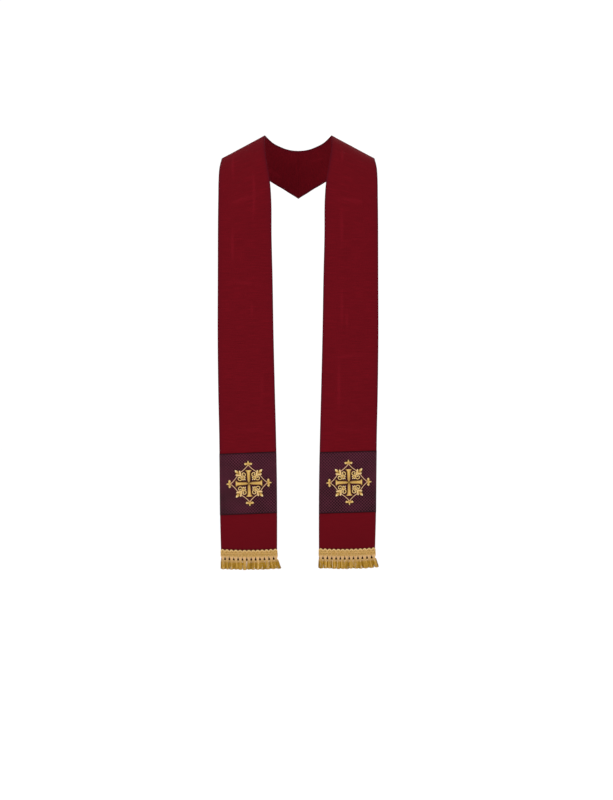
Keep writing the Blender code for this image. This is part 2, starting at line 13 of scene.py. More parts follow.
import bmesh
import bpy
import numpy as np
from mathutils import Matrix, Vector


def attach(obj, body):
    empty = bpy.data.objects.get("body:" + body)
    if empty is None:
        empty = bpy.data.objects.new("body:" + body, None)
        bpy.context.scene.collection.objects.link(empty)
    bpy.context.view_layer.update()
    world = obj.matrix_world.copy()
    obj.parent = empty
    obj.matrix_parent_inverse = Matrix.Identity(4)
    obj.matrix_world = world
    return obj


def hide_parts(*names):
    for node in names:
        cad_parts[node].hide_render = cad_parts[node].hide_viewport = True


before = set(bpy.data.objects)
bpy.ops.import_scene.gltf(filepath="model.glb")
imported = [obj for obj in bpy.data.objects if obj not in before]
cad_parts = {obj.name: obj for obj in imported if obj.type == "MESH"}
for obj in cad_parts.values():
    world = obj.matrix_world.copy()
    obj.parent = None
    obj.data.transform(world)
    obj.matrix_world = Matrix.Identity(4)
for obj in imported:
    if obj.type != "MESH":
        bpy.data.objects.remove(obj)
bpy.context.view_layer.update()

# %% [markdown]
# ## Camera
#
# The camera comes first, so that every later look at the work is the same look. The stole was photographed
# from the front, level with its middle and about 5 m away, which flattens it as a long lens does. A lens
# that takes in 2 m from top to bottom at the chest gives that, with no shift and no blur from depth.

# %% Camera
CAMERA_PLACE = (0.02125, -5.0, -0.6778)
CHEST_DISTANCE = 4.88
HEIGHT_SEEN = 2.0
SENSOR = 36.0

camera_data = bpy.data.cameras.new("camera")
camera_data.sensor_fit = "VERTICAL"
camera_data.sensor_height = SENSOR
camera_data.lens = SENSOR * CHEST_DISTANCE / HEIGHT_SEEN
camera = bpy.data.objects.new("camera", camera_data)
camera.location = CAMERA_PLACE
camera.rotation_euler = (math.pi / 2, 0, 0)
bpy.context.scene.collection.objects.link(camera)
bpy.context.scene.camera = camera
print("lens:", round(camera_data.lens, 1), "mm")

# %% [markdown]
# ## Light
#
# Vestments are photographed in soft, even light, so that dark cloth keeps its colour and gold thread its
# shine. A white sky gives most of it. One large lamp from the upper left shapes the folds, a weaker one
# fills from the right, and a third lights the back.

# %% Light
SKY_STRENGTH = 1.05
Lamp = namedtuple("Lamp", "name place aim size watts")
LAMPS = (
    Lamp("key", (-2.4, -3.4, 1.3), (0.0, 0.0, -0.6), 2.4, 46.0),
    Lamp("fill", (2.8, -3.0, 0.1), (0.0, 0.0, -0.7), 2.4, 16.0),
    Lamp("back", (1.4, 3.2, 1.2), (0.0, 0.0, -0.4), 2.4, 40.0),
)

world = bpy.data.worlds.new("white_sky")
world.use_nodes = True
world.node_tree.nodes["Background"].inputs["Color"].default_value = (1.0, 1.0, 1.0, 1.0)
world.node_tree.nodes["Background"].inputs["Strength"].default_value = SKY_STRENGTH
bpy.context.scene.world = world
bpy.context.scene.view_settings.view_transform = "Standard"

for lamp in LAMPS:
    lamp_data = bpy.data.lights.new(lamp.name, "AREA")
    lamp_data.shape = "DISK"
    lamp_data.size = lamp.size
    lamp_data.energy = lamp.watts
    lamp_object = bpy.data.objects.new(lamp.name, lamp_data)
    lamp_object.location = lamp.place
    direction = Vector(lamp.aim) - Vector(lamp.place)
    lamp_object.rotation_euler = direction.to_track_quat("-Z", "Y").to_euler()
    bpy.context.scene.collection.objects.link(lamp_object)
print("lamps:", [lamp.name for lamp in LAMPS])

# %% [markdown]
# ## Colours, nodes and the floor
#
# Colours are picked as web colours, which are stored in sRGB, while a shader works in linear light,
# so one function turns one into the other. Another function adds any node, sets its properties and fills
# its inputs, so that a material reads as a short list of steps. The floor is the first to use them. It is a
# plain sheet in pale matt paint, which spreads the light and shows no glare.

# %% Colours, nodes and the floor
FLOOR_COLOUR = "#fcfcfd"
FLOOR_Z = -1.55
FLOOR_HALF = 30.0
# What makes a Mix node mix colours, in its inputs 6 and 7
COLOURS = {"output": 2, "data_type": "RGBA"}


def linear(web_colour):
    """Linear red, green, blue and alpha of a web colour, by the sRGB curve."""
    shares = np.array([int(web_colour[i : i + 2], 16) / 255 for i in (1, 3, 5)])
    light = np.where(shares <= 0.04045, shares / 12.92, ((shares + 0.055) / 1.055) ** 2.4)
    return (*light.tolist(), 1.0)


def fill_inputs(made, inputs):
    """Gives each input of a node, in order or by name or number, a value or a link."""
    for key, value in inputs.items() if isinstance(inputs, dict) else enumerate(inputs):
        if isinstance(value, bpy.types.NodeSocket):
            made.id_data.links.new(value, made.inputs[key])
        else:
            made.inputs[key].default_value = value


def add_node(tree, kind, inputs, output=0, **settings):
    """Adds a node, sets its properties, fills its inputs and gives back one of its outputs."""
    made = tree.nodes.new("ShaderNode" + kind)
    for name, value in settings.items():
        setattr(made, name, value)
    fill_inputs(made, inputs)
    return made.outputs[output]


def new_finish(name, constants):
    """A material with its shader's constant values set, add_node for its tree, and its shader."""
    made = bpy.data.materials.new(name)
    made.use_nodes = True
    shader = made.node_tree.nodes["Principled BSDF"]
    fill_inputs(shader, constants)
    return made, partial(add_node, made.node_tree), shader


floor_paint, _, _ = new_finish("pale_floor", {"Base Color": linear(FLOOR_COLOUR), "Roughness": 0.9})
floor_mesh = bpy.data.meshes.new("floor")
floor_mesh.from_pydata(
    [(x * FLOOR_HALF, y * FLOOR_HALF, FLOOR_Z) for x, y in ((-1, -1), (1, -1), (1, 1), (-1, 1))],
    [],
    [(0, 1, 2, 3)],
)
floor_mesh.materials.append(floor_paint)
floor = bpy.data.objects.new("floor", floor_mesh)
bpy.context.scene.collection.objects.link(floor)
print("floor in linear light:", [round(c, 4) for c in linear(FLOOR_COLOUR)])

# %% [markdown]
# ## How the stole lies over the shoulders
#
# Each half is one strip that folds over a sloping shoulder. Cut the shoulder from front to back and its
# outline is a quarter of an ellipse that goes over into a plumb line. So a place on the strip is given by
# x, how far it is across the body, and t, how far it is over the shoulder from the crest, positive down the
# front and negative down the back. All that lies on the strip is put there by moving its points out along
# the surface's normal. The wearer's right half is worked out as a left one, and mirrored at the end.

# %% The shoulder
MM = 0.001
SHOULDER_SLOPE = math.radians(28.2)
NECK_HALF = 0.0845
NAPE_HALF = 0.050
PLUMB_LENGTH = 1.2
CHEST_REACH, CHEST_DROP = 0.120, 0.190
BACK_REACH, BACK_DROP = 0.098, 0.150
CHEST_ROUND, CHEST_ROUND_AT_HEM = 0.016, 0.010
ROUND_START, ROUND_WIDTH, ROUND_FULL_AT = 0.060, 0.140, 0.20
HEM_Z = -1.0775
PROFILE_STEPS = 181
NORMAL_STEP = 0.00025


def points_from(*numbers):
    """Points from their coordinates, which may be arrays of any shapes that fit each other."""
    return np.stack(np.broadcast_arrays(*numbers), axis=-1)


def length_along(path):
    """Sum of the steps along a path of points, from its start to each of them."""
    return np.append(0.0, np.cumsum(np.linalg.norm(np.diff(path, axis=0), axis=1)))


def shoulder_profile(reach, drop):
    """Arc length, reach and drop along a quarter of an ellipse that ends in a plumb line."""
    turn = np.linspace(0.0, math.pi / 2, PROFILE_STEPS)
    out = np.append(reach * np.sin(turn), reach)
    down = np.append(drop * (1.0 - np.cos(turn)), drop + PLUMB_LENGTH)
    return length_along(points_from(out, down)), out, down


CHEST = shoulder_profile(CHEST_REACH, CHEST_DROP)
BACK = shoulder_profile(BACK_REACH, BACK_DROP)


def across_slope(x):
    """Distance from the neck point along x, eased by a parabola to a round nape at the middle."""
    return np.where(x < NAPE_HALF, x * x / (2 * NAPE_HALF) + NAPE_HALF / 2, x) - NECK_HALF


def way_over(x, z, sheet):
    """t of a point seen at x and z, by its drop below the slope. sheet is 1 in front and -1 behind."""
    drop = -(across_slope(x) * math.sin(SHOULDER_SLOPE) + z * math.cos(SHOULDER_SLOPE))
    arc, _, down = CHEST if sheet > 0 else BACK
    return sheet * np.interp(drop, down, arc)


def smooth_step(share):
    """Goes from 0 to 1 as 3s² - 2s³, with no kink at either end."""
    share = np.clip(share, 0.0, 1.0)
    return share * share * (3.0 - 2.0 * share)


def smooth(stations, values, at):
    """Cubic through the values, with each slope taken from its two neighbours."""
    slopes = np.gradient(values, stations)
    k = np.clip(np.searchsorted(stations, at) - 1, 0, len(stations) - 2)
    step = stations[k + 1] - stations[k]
    u = (at - stations[k]) / step
    return (
        values[k] * (1 + 2 * u) * (1 - u) ** 2
        + slopes[k] * step * u * (1 - u) ** 2
        + values[k + 1] * u * u * (3 - 2 * u)
        + slopes[k + 1] * step * u * u * (u - 1)
    )


print("arc over the chest and the back in mm:", round(CHEST[0][-2] / MM), round(BACK[0][-2] / MM))

# %% [markdown]
# ## The cut of the strip
#
# A pattern cutter would give the width and the place of both edges at each level, and draw smooth lines
# through them. That is what the table does, from the centre back seam over the shoulder to the hem.

# %% The cut of the strip
# Each row has a name, 1 for the front or -1 for the back, and x and z of the inner and outer edge in mm
SECTION_ROWS = (
    ("centre back", -1, 0, -30, 0, -153),
    ("beside the seam", -1, 12.5, -29.3, 22, -139),
    ("nape", -1, 25, -27.4, 45, -124.5),
    ("back of neck", -1, 50, -19.5, 96, -94),
    ("back of shoulder", -1, 72, -8.2, 150, -68),
    ("crest", 1, 84.5, 0, 192, -57.6),
    ("front of shoulder", 1, 84.8, -18, 196.5, -70.5),
    ("collar", 1, 84.2, -40, 199.5, -88),
    ("collar bone", 1, 78, -85, 201, -125),
    ("upper chest", 1, 70.2, -132, 201, -165),
    ("chest", 1, 66.8, -178, 201.2, -205),
    ("breast", 1, 66, -265, 201.3, -265),
    ("below the breast", 1, 63.6, -365, 201.5, -365),
    ("waist", 1, 61, -515, 201.8, -515),
    ("hip", 1, 57.4, -665, 200, -665),
    ("above the band", 1, 54.8, -765, 197.8, -765),
    ("band", 1, 52.8, -865, 196.5, -865),
    ("below the band", 1, 52, -965, 195.5, -965),
    ("hem", 1, 52.2, HEM_Z / MM, 192.5, HEM_Z / MM),
)
Section = namedtuple("Section", "name sheet inner_x inner_z outer_x outer_z")
SECTIONS = [Section(name, sheet, *(MM * number for number in edges)) for name, sheet, *edges in SECTION_ROWS]
FRONT = [section for section in SECTIONS if section.sheet > 0]
BREAST = [section.name for section in SECTIONS].index("breast")

TABLE = np.array([section[1:] for section in SECTIONS])
EDGE_X, EDGE_Z = TABLE[:, [1, 3]].T, TABLE[:, [2, 4]].T
EDGE_T = np.where(TABLE[:, 0] > 0, way_over(EDGE_X, EDGE_Z, 1), way_over(EDGE_X, EDGE_Z, -1))
STATIONS = length_along(points_from(EDGE_X.mean(axis=0), EDGE_T.mean(axis=0)))
HEM_CUT = FRONT[-1].outer_x - FRONT[-1].inner_x
print("sections:", len(SECTIONS), "hem width in mm:", round(1000 * HEM_CUT, 1))

# %% [markdown]
# ## The outer face
#
# Cloth that hangs free from the chest falls in long soft folds, each a few millimetres deep. They are too
# low to change the outline, but they catch the light, so they are laid on the plain form as low bells. The
# outer face with its folds is the one surface that everything else is placed on.

# %% Soft folds
# across is the share of the width from the inner edge, and the rest is in metres
Fold = namedtuple("Fold", "across top bottom height half_width")
SOFT_FOLDS = {
    "left": (
        Fold(0.30, -0.10, -0.66, 0.0024, 0.017),
        Fold(0.52, -0.46, -0.98, 0.0016, 0.020),
        Fold(0.80, -0.14, -0.50, 0.0014, 0.018),
    ),
    "right": (
        Fold(0.36, -0.09, -0.48, 0.0020, 0.018),
        Fold(0.70, -0.10, -0.58, 0.0024, 0.017),
        Fold(0.45, -0.55, -1.00, 0.0015, 0.022),
    ),
}


def fold_height(x, z, side):
    """How far one side's soft folds stand out: a sine squared along each and a bell across it."""
    edge_in = np.interp(-z, [-s.inner_z for s in FRONT], [s.inner_x for s in FRONT])
    edge_out = np.interp(-z, [-s.outer_z for s in FRONT], [s.outer_x for s in FRONT])
    height = np.zeros_like(z)
    for fold in SOFT_FOLDS[side]:
        middle = edge_in + fold.across * (edge_out - edge_in)
        along = np.clip((fold.top - z) / (fold.top - fold.bottom), 0.0, 1.0)
        bell = np.exp(-(((x - middle) / fold.half_width) ** 2))
        height += fold.height * np.sin(math.pi * along) ** 2 * bell
    return height


print("soft folds:", {side: len(folds) for side, folds in SOFT_FOLDS.items()})

# %% The outer face


def outer_face(x, t, side):
    """Points of the outer face: the profile gives reach and drop, the slope lowers z, the chest rounds y."""
    x, t = np.broadcast_arrays(np.asarray(x, float), np.asarray(t, float))
    front, way = t > 0, np.abs(t)
    reach, drop = (
        np.where(front, np.interp(way, CHEST[0], chest), np.interp(way, BACK[0], back))
        for chest, back in zip(CHEST[1:], BACK[1:])
    )
    z = (-drop - across_slope(x) * math.sin(SHOULDER_SLOPE)) / math.cos(SHOULDER_SLOPE)
    roundness = np.interp(-z, [ROUND_FULL_AT, -HEM_Z], [CHEST_ROUND, CHEST_ROUND_AT_HEM])
    back_off = roundness * ((x - ROUND_START) / ROUND_WIDTH) ** 2 * smooth_step(way / ROUND_FULL_AT)
    y = np.where(front, -reach + back_off - fold_height(x, z, side), reach)
    return points_from(x, y, z)


def moved_out(x, t, height, side):
    """Points a height above the outer face, along its normal from differences half a millimetre wide."""
    over_x = outer_face(x + NORMAL_STEP, t, side) - outer_face(x - NORMAL_STEP, t, side)
    over_t = outer_face(x, t + NORMAL_STEP, side) - outer_face(x, t - NORMAL_STEP, side)
    normal = np.cross(over_t, over_x)
    normal /= np.linalg.norm(normal, axis=-1, keepdims=True)
    return outer_face(x, t, side) + normal * np.asarray(height, float)[..., None]


def on_front(x, z, height, side):
    """Points a height above the front, given by the x and z at which they are seen."""
    return moved_out(x, way_over(x, z, 1), height, side)


def edges_at(z):
    """x of the inner and of the outer edge where the front hangs plumb."""
    levels = -EDGE_Z[0][BREAST:]
    return smooth(levels, EDGE_X[0][BREAST:], -z), smooth(levels, EDGE_X[1][BREAST:], -z)


print("collar in front, x, y, z:", outer_face(NECK_HALF, way_over(NECK_HALF, -0.04, 1), "left").round(4))

# %% [markdown]
# ## From numbers to a mesh
#
# Every piece here is made of closed rings: a strip of cloth has rings round its cross-section, and so has a
# cord, a thread or a bar of satin stitch. One function joins ring to ring with quads and closes both ends,
# and another puts any number of such pieces into one object, with two numbers for each point kept as a UV
# map, in metres, for patterns that follow the cloth or the thread. Threads carry a third number, the crown,
# which is 1 on the ridge of a cord or bar and 0 down at its edge. The gold's material paints shade where the
# crown is low, and a painted highlight where it passes 1.

# %% From numbers to a mesh
pieces = {}


def ring_faces(rows, around):
    """Quads between neighbouring rings, and rungs of quads across the first ring and the last."""
    row = np.arange(rows - 1)[:, None] * around
    here = np.arange(around)[None, :]
    following = (here + 1) % around
    sides = np.stack([row + here, row + following, row + around + following, row + around + here], axis=-1)
    i = np.arange(around // 2 - 1)
    rungs = np.stack([i, i + 1, around - 2 - i, around - 1 - i], axis=-1)
    return np.concatenate([sides.reshape(-1, 4), rungs[:, ::-1], rungs + (rows - 1) * around])


def add_number(mesh, name, values):
    """Keeps one number for each point of a mesh, for its material to read."""
    attribute = mesh.attributes.new(name, "FLOAT", "POINT")
    attribute.data.foreach_set("value", np.asarray(values, np.float32).ravel())


def add_piece(side, name, parts, finish):
    """One object from parts, each the points and places of one or many ringed pieces of the same size."""
    points, faces, places, start = [], [], [], 0
    for rings, at in parts:
        rows, around = rings.shape[-3:-1]
        count = rings[..., 0].size // (rows * around)
        offsets = start + np.arange(count)[:, None, None] * rows * around
        faces.append((ring_faces(rows, around)[None] + offsets).reshape(-1, 4))
        points.append(rings.reshape(-1, 3))
        places.append(at.reshape(-1, at.shape[-1]))
        start += count * rows * around
    points, faces, places = (np.concatenate(each) for each in (points, faces, places))
    if side == "right":
        points = points * (-1.0, 1.0, 1.0)
    mesh = bpy.data.meshes.new(f"{side}_{name}")
    mesh.from_pydata(points.tolist(), [], faces.tolist())
    layer = mesh.uv_layers.new(name="cloth")
    corners = np.empty(len(mesh.loops), np.int32)
    mesh.loops.foreach_get("vertex_index", corners)
    layer.data.foreach_set("uv", places[corners, :2].astype(np.float32).ravel())
    if places.shape[1] == 3:
        add_number(mesh, "crown", places[:, 2])
    body = bmesh.new()
    body.from_mesh(mesh)
    bmesh.ops.recalc_face_normals(body, faces=body.faces)
    body.to_mesh(mesh)
    body.free()
    mesh.shade_smooth()
    mesh.materials.append(finish)
    made = pieces[side, name] = bpy.data.objects.new(mesh.name, mesh)
    bpy.context.scene.collection.objects.link(made)
    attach(made, "root")
    print(made.name, "triangles:", 2 * len(faces))
    return made


print("faces on two rings of eight points:", len(ring_faces(2, 8)))

# %% A sheet with turned edges
# The rows that round off an end, as shares of its radius, and the turns at the points of a long edge
END_ROWS = np.array([0.03, 0.15, 0.45, 1.0])
EDGE_BENDS = np.radians([36, 72, 108, 144])


def turned_sheet(place, length, width_at, thick, row_step, columns):
    """Rings round a sheet of cloth with turned edges, and their UV.

    Going round a ring, the face is crossed one way, the edge is half a circle, the back is crossed the
    other way, and the other edge closes it. Near both ends the thickness falls as a circle does."""
    radius = thick / 2
    ends = radius * END_ROWS
    inside = np.linspace(2 * radius, length - 2 * radius, max(3, round(length / row_step)))
    rows = np.concatenate([ends, inside, length - ends[::-1]])
    to_end = np.clip(np.minimum(rows, length - rows) / radius, 0.0, 1.0)
    fullness = np.sqrt(1.0 - (1.0 - to_end) ** 2)[:, None]
    face = np.linspace(0.0, 1.0, columns)
    turn = np.concatenate([np.zeros(columns), EDGE_BENDS, np.full(columns, math.pi), math.pi + EDGE_BENDS])
    crossed = np.concatenate([face, np.ones(len(EDGE_BENDS)), face[::-1], np.zeros(len(EDGE_BENDS))])
    turn, crossed = np.roll(turn, 2), np.roll(crossed, 2)
    along = np.broadcast_to(rows[:, None], (len(rows), len(turn)))
    across = radius + crossed * (width_at(rows)[:, None] - 2 * radius) + radius * np.sin(turn)
    height = radius * (fullness * np.cos(turn) - 1.0)
    return place(along, across, height), points_from(across, along)


print("points round a row of 10 columns:", 2 * (10 + len(EDGE_BENDS)))

# %% [markdown]
# ## The two halves of burgundy dupion
#
# The cloth is interlined dupion, folded in along both edges, so it is about 2 mm thick with a soft round
# edge and lies in shallow creases from how it was folded away. A cloth simulation would find its own drape,
# but the form over the shoulders is known here, so the surface is worked out and the creases are laid on it
# one by one as low bells along short lines. Some run down the strip, others cross it where it was folded.

# %% Lengths along and across the cloth
CLOTH = 0.0020
SEAM_OVERLAP = 0.00015
LAY_GAP = 0.0003
HEM_SAG = 0.0026
HEM_TURN = math.radians(0.6)
HEM_WIDTH = 0.1415
HEM_BEND_START_Z = -0.965
End = namedtuple("End", "outward band_z band_turn motif_x motif_z motif_turn hem_rise")
ENDS = {
    "left": End(1, -0.8832, math.radians(1.4), 0.1272, -0.8838, math.radians(1.5), 0.0013),
    "right": End(-1, -0.8865, math.radians(2.5), 0.1224, -0.8863, math.radians(2.4), -0.0013),
}


def hem_bend(z, share, side):
    """How much lower a row runs near the hem: a parabola of sag, its own turn and its end's rise."""
    down = np.clip((HEM_BEND_START_Z - z) / (HEM_BEND_START_Z - HEM_Z), 0.0, None)
    sag = HEM_SAG * (1.0 - (2.0 * share - 1.0) ** 2)
    slope = ENDS[side].outward * math.tan(HEM_TURN) * (share - 0.5) * HEM_WIDTH
    return np.minimum(down**2, 1.0) * (sag - slope - ENDS[side].hem_rise)


def between_edges(station, share):
    """x and t at a station along the cut, a share of the way from the inner edge to the outer one."""
    inner_x, outer_x = smooth(STATIONS, EDGE_X[0], station), smooth(STATIONS, EDGE_X[1], station)
    inner_t, outer_t = smooth(STATIONS, EDGE_T[0], station), smooth(STATIONS, EDGE_T[1], station)
    return inner_x + share * (outer_x - inner_x), inner_t + share * (outer_t - inner_t)


FINE_STATIONS = np.linspace(0.0, STATIONS[-1], 1201)
inner_line, middle_line, outer_line = (
    outer_face(*between_edges(FINE_STATIONS, share), "left") for share in (0.0, 0.5, 1.0)
)
ALONG = length_along(middle_line)
WIDTHS = np.linalg.norm(outer_line - inner_line, axis=1)
HALF_LENGTH = ALONG[-1]
print("length of a half in mm:", round(1000 * HALF_LENGTH), "widths:", (1000 * WIDTHS[::150]).round(1))
for section, station in zip(SECTIONS, STATIONS):
    print("   ", section.name, round(float(np.interp(station, FINE_STATIONS, ALONG)), 3))

# %% Creases
# A crease runs from one place to another on the flat cloth: millimetres across from the inner edge and
# along from the centre back seam. A ridge has a positive height and a trough a negative one
CREASE_ROWS = {
    "left": (
        (28, 245, 33, 300, 1.3, 3.4),
        (43, 405, 45, 522, 1.4, 3.6),
        (47, 596, 49, 724, 1.4, 3.4),
        (60, 655, 62, 727, 1, 3.2),
        (42, 770, 47, 938, 1.3, 3.6),
        (104, 330, 101, 470, -1, 5.2),
        (4, 398, 138, 382, 1, 5),
        (10, 588, 139, 601, -0.8, 5.5),
        (6, 786, 128, 775, 0.8, 5),
        (20, 962, 140, 969, 0.6, 4.5),
        (66, 110, 58, 212, 1.1, 4),
        (30, 20, 36, 105, 1, 4),
        (12, 78, 98, 92, -0.8, 4.8),
    ),
    "right": (
        (86, 226, 92, 338, 1.4, 3.5),
        (98, 446, 100, 562, 1.4, 3.6),
        (38, 298, 49, 462, 1.3, 3.4),
        (53, 640, 54, 690, 1, 3.2),
        (50, 560, 46, 640, -0.8, 4.5),
        (30, 800, 34, 920, 0.6, 4.8),
        (6, 380, 136, 392, 1, 5),
        (4, 606, 130, 590, 0.8, 5.2),
        (16, 774, 140, 784, -0.8, 5.5),
        (8, 970, 118, 963, 0.6, 4.5),
        (36, 120, 42, 205, 1.1, 4),
        (74, 30, 68, 128, 1, 4.2),
        (18, 98, 112, 84, -0.8, 5),
    ),
}
Crease = namedtuple("Crease", "across along to_across to_along height half_width")
CREASES = {
    side: [Crease(*(MM * number for number in row)) for row in rows] for side, rows in CREASE_ROWS.items()
}
CREASE_FULL = 0.0009
ALLOWANCE, ALLOWANCE_LEVEL = 0.011, 0.5
ALLOWANCE_HEIGHT = 0.00018


def crease_height(along, across, side):
    """Sum of the creases: each a bell across its line that fades along it as a sine."""
    height = np.zeros_like(along)
    for crease in CREASES[side]:
        run = np.array([crease.to_across - crease.across, crease.to_along - crease.along])
        length = math.hypot(*run)
        off_across, off_along = across - crease.across, along - crease.along
        share = (off_across * run[0] + off_along * run[1]) / length**2
        away = (off_across * run[1] - off_along * run[0]) / length
        fade = np.sin(math.pi * np.clip(share, 0.0, 1.0)) ** 2
        height += crease.height * fade * np.exp(-((away / crease.half_width) ** 2))
    return height


def half_place(side, along, across, height):
    """Place on one half for a way along it, a way across it and a height above its outer face.

    It is the outer face at that place, lower where the hem sags, and moved out along its normal by the
    height, the creases and the folded edges. The two halves meet at the seam, a hair's breadth deep."""
    width = np.interp(along, ALONG, WIDTHS)
    x, t = between_edges(np.interp(along, ALONG, FINE_STATIONS), across / width)
    t = t + hem_bend(outer_face(x, t, side)[..., 2], across / width, side)
    to_edge = np.minimum(across, width - across)
    allowance = ALLOWANCE_HEIGHT * (1.0 - smooth_step(to_edge / ALLOWANCE - ALLOWANCE_LEVEL))
    is_face = height > -CLOTH / 2
    lift = crease_height(along, across, side) + np.where(is_face, allowance, 0.0)
    points = moved_out(x, t, height + lift, side)
    points[..., 0] = np.maximum(points[..., 0], 0.0) - SEAM_OVERLAP * np.exp(-along / CLOTH)
    return points


print("creases:", {side: len(creases) for side, creases in CREASES.items()})

# %% [markdown]
# ## Dupion
#
# Dupion is woven from two reeled threads, so its weft is uneven: thick places, called slubs, run across the
# cloth as short raised lines. It is matt, and in this deep red it swallows light, so next to no shine is
# left on it. The slubs are noise stretched across the strip. The weave itself is a product of two sines,
# drawn about three times as coarse as the real 0.35 mm so that it shows up close. Both follow the cloth's
# own UV. Light and shade are painted into the colour too: a painted highlight on the ridges of the creases,
# painted shade along both rolled edges and towards the hem, and a painted shadow on the face where the
# fringe's heading lies over it.

# %% Dupion
CLOTH_RED = "#670a15"
CLOTH_DEEP = "#540710"
CLOTH_EDGE_SHADE = "#380817"
CLOTH_CREASE_HIGHLIGHT = "#8c1726"
CLOTH_SHADED = "#26050a"
HEM_SHADE_START, HEM_SHADE_END = 1.10, 1.25
UNDER_FRINGE_START, UNDER_FRINGE_END = 1.2590, 1.2680
WEAVE_PITCH, WEAVE_RELIEF, WEAVE_DEPTH = 0.0011, 0.22, 0.0003
SLUB_LENGTH, SLUB_THICK = 0.034, 0.0016
SLUB_RANGE = (0.40, 0.72)
LONG_SLUB_LENGTH, LONG_SLUB_THICK = 0.16, 0.0035
LONG_SLUB_TINT, LONG_SLUB_RELIEF = 0.30, 0.8
EDGE_SHADE_TINT, CREASE_HIGHLIGHT_TINT, HANDLED_TINT = 0.75, 0.11, 0.28
HANDLED_PATCH, HANDLED_RANGE = (0.11, 0.17), (0.3, 0.7)


def cloth_uv(node):
    """The UV that every piece has, and each of its two numbers, in metres."""
    uv = node("UVMap", {}, uv_map="cloth")
    return uv, node("SeparateXYZ", (uv,)), node("SeparateXYZ", (uv,), output=1)


def sine_wave(node, way, pitch):
    """Sine of a length, from -1 to 1, with one wave to each pitch."""
    turned = node("Math", (way, 2 * math.pi / pitch), operation="MULTIPLY")
    return node("Math", (turned,), operation="SINE")


def stretched_noise(node, uv, across, along, **inputs):
    """Noise on the UV whose blotches are about this many metres across and along."""
    scaled = node("Mapping", {"Vector": uv, "Scale": (1 / across, 1 / along, 1.0)})
    return node("TexNoise", {"Vector": scaled, "Scale": 1.0, **inputs})


dupion, node, shader = new_finish(
    "burgundy_dupion", {"Roughness": 0.82, "IOR": 1.5, "Specular IOR Level": 0.03}
)
uv, across, along = cloth_uv(node)
slubs = stretched_noise(node, uv, SLUB_LENGTH, SLUB_THICK, Detail=2.0, Roughness=0.6)
slub_share = node("MapRange", (slubs, *SLUB_RANGE))
long_slubs = stretched_noise(node, uv, LONG_SLUB_LENGTH, LONG_SLUB_THICK, Detail=1.0)
tint = node("Mix", {0: LONG_SLUB_TINT, 2: slub_share, 3: long_slubs})
colour = node("Mix", {0: tint, 6: linear(CLOTH_DEEP), 7: linear(CLOTH_RED)}, **COLOURS)

handling = stretched_noise(node, uv, *HANDLED_PATCH, Detail=2.0)
worn = node("MapRange", (handling, *HANDLED_RANGE, 0.0, HANDLED_TINT))
# Painted shade that deepens towards the hem, taken together with the random patches of wear
at_hem = node("MapRange", (along, HEM_SHADE_START, HEM_SHADE_END))
darker = node("Math", (worn, at_hem), operation="MAXIMUM")
edge_shade_mask, crease, under_fringe_shadow = (
    node("Attribute", {}, output=2, attribute_name=name) for name in ("edge_shade_mask", "crease", "under_fringe_shadow")
)
# Painted shade along both rolled edges of the strip
edge_share = node("Math", (edge_shade_mask, EDGE_SHADE_TINT), operation="MULTIPLY")
# Painted highlight on the ridges of the creases
crease_highlight = node("MapRange", (crease, 0.0, 1.0, 0.0, CREASE_HIGHLIGHT_TINT))
for share, other in (
    (edge_share, CLOTH_EDGE_SHADE),
    (darker, CLOTH_DEEP),
    (crease_highlight, CLOTH_CREASE_HIGHLIGHT),
    (under_fringe_shadow, CLOTH_SHADED),
):
    colour = node("Mix", {0: share, 6: colour, 7: linear(other)}, **COLOURS)

warp, weft = (sine_wave(node, way, WEAVE_PITCH) for way in (across, along))
weave = node("Math", (warp, weft), operation="MULTIPLY")
relief = node("Math", (weave, WEAVE_RELIEF, slub_share), operation="MULTIPLY_ADD")
relief = node("Math", (long_slubs, LONG_SLUB_RELIEF, relief), operation="MULTIPLY_ADD")
bump = node("Bump", {"Height": relief, "Strength": 0.55, "Distance": WEAVE_DEPTH})
fill_inputs(shader, {"Base Color": colour, "Normal": bump})
print("dupion nodes:", len(dupion.node_tree.nodes))

# %% Cut both halves
ROW_STEP = 0.0030
FACE_COLUMNS = 61
EDGE_SHADE = 0.0035


def width_of_half(rows):
    """Width of a half at each way along it."""
    return np.interp(rows, ALONG, WIDTHS)


for side in ("left", "right"):
    place = partial(half_place, side)
    rings, uv_map = turned_sheet(place, HALF_LENGTH, width_of_half, CLOTH, ROW_STEP, FACE_COLUMNS)
    half = add_piece(side, "half", [(rings, uv_map)], dupion)
    across, along = uv_map[..., 0], uv_map[..., 1]
    to_edge = np.minimum(across, width_of_half(along) - across)
    # Painted shade along the rolled edges, strongest at the fold
    add_number(half.data, "edge_shade_mask", np.exp(-np.maximum(to_edge, 0.0) / EDGE_SHADE))
    add_number(half.data, "crease", crease_height(along, across, side) / CREASE_FULL)
    # Painted shadow on the face where the fringe's heading lies over it
    shaded = np.interp(along, (UNDER_FRINGE_START, UNDER_FRINGE_END), (0.0, 1.0))
    shaded[:, FACE_COLUMNS + 2 :] = 0.0
    add_number(half.data, "under_fringe_shadow", shaded)
    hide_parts(f"stole_{side}")

# %% [markdown]
# ## The brocade bands
#
# A brocade band is sewn flat across each front. Its top and bottom edges are turned under, which leaves a
# slightly raised rim, and a dark line of painted shadow runs along it. Brocade is woven with a second weft
# that floats over its ground wherever the figure is, so the figure is paler and a little raised, and the
# cloth has a low sheen, painted as plum patches and a lighter top on the dark ground. Here it is a trellis
# of lozenges as wide as they are high, drawn in the material from triangle waves of the UV. The twill of
# the ground is drawn at 1.2 mm, about twice as coarse as real, so that it shows up close.

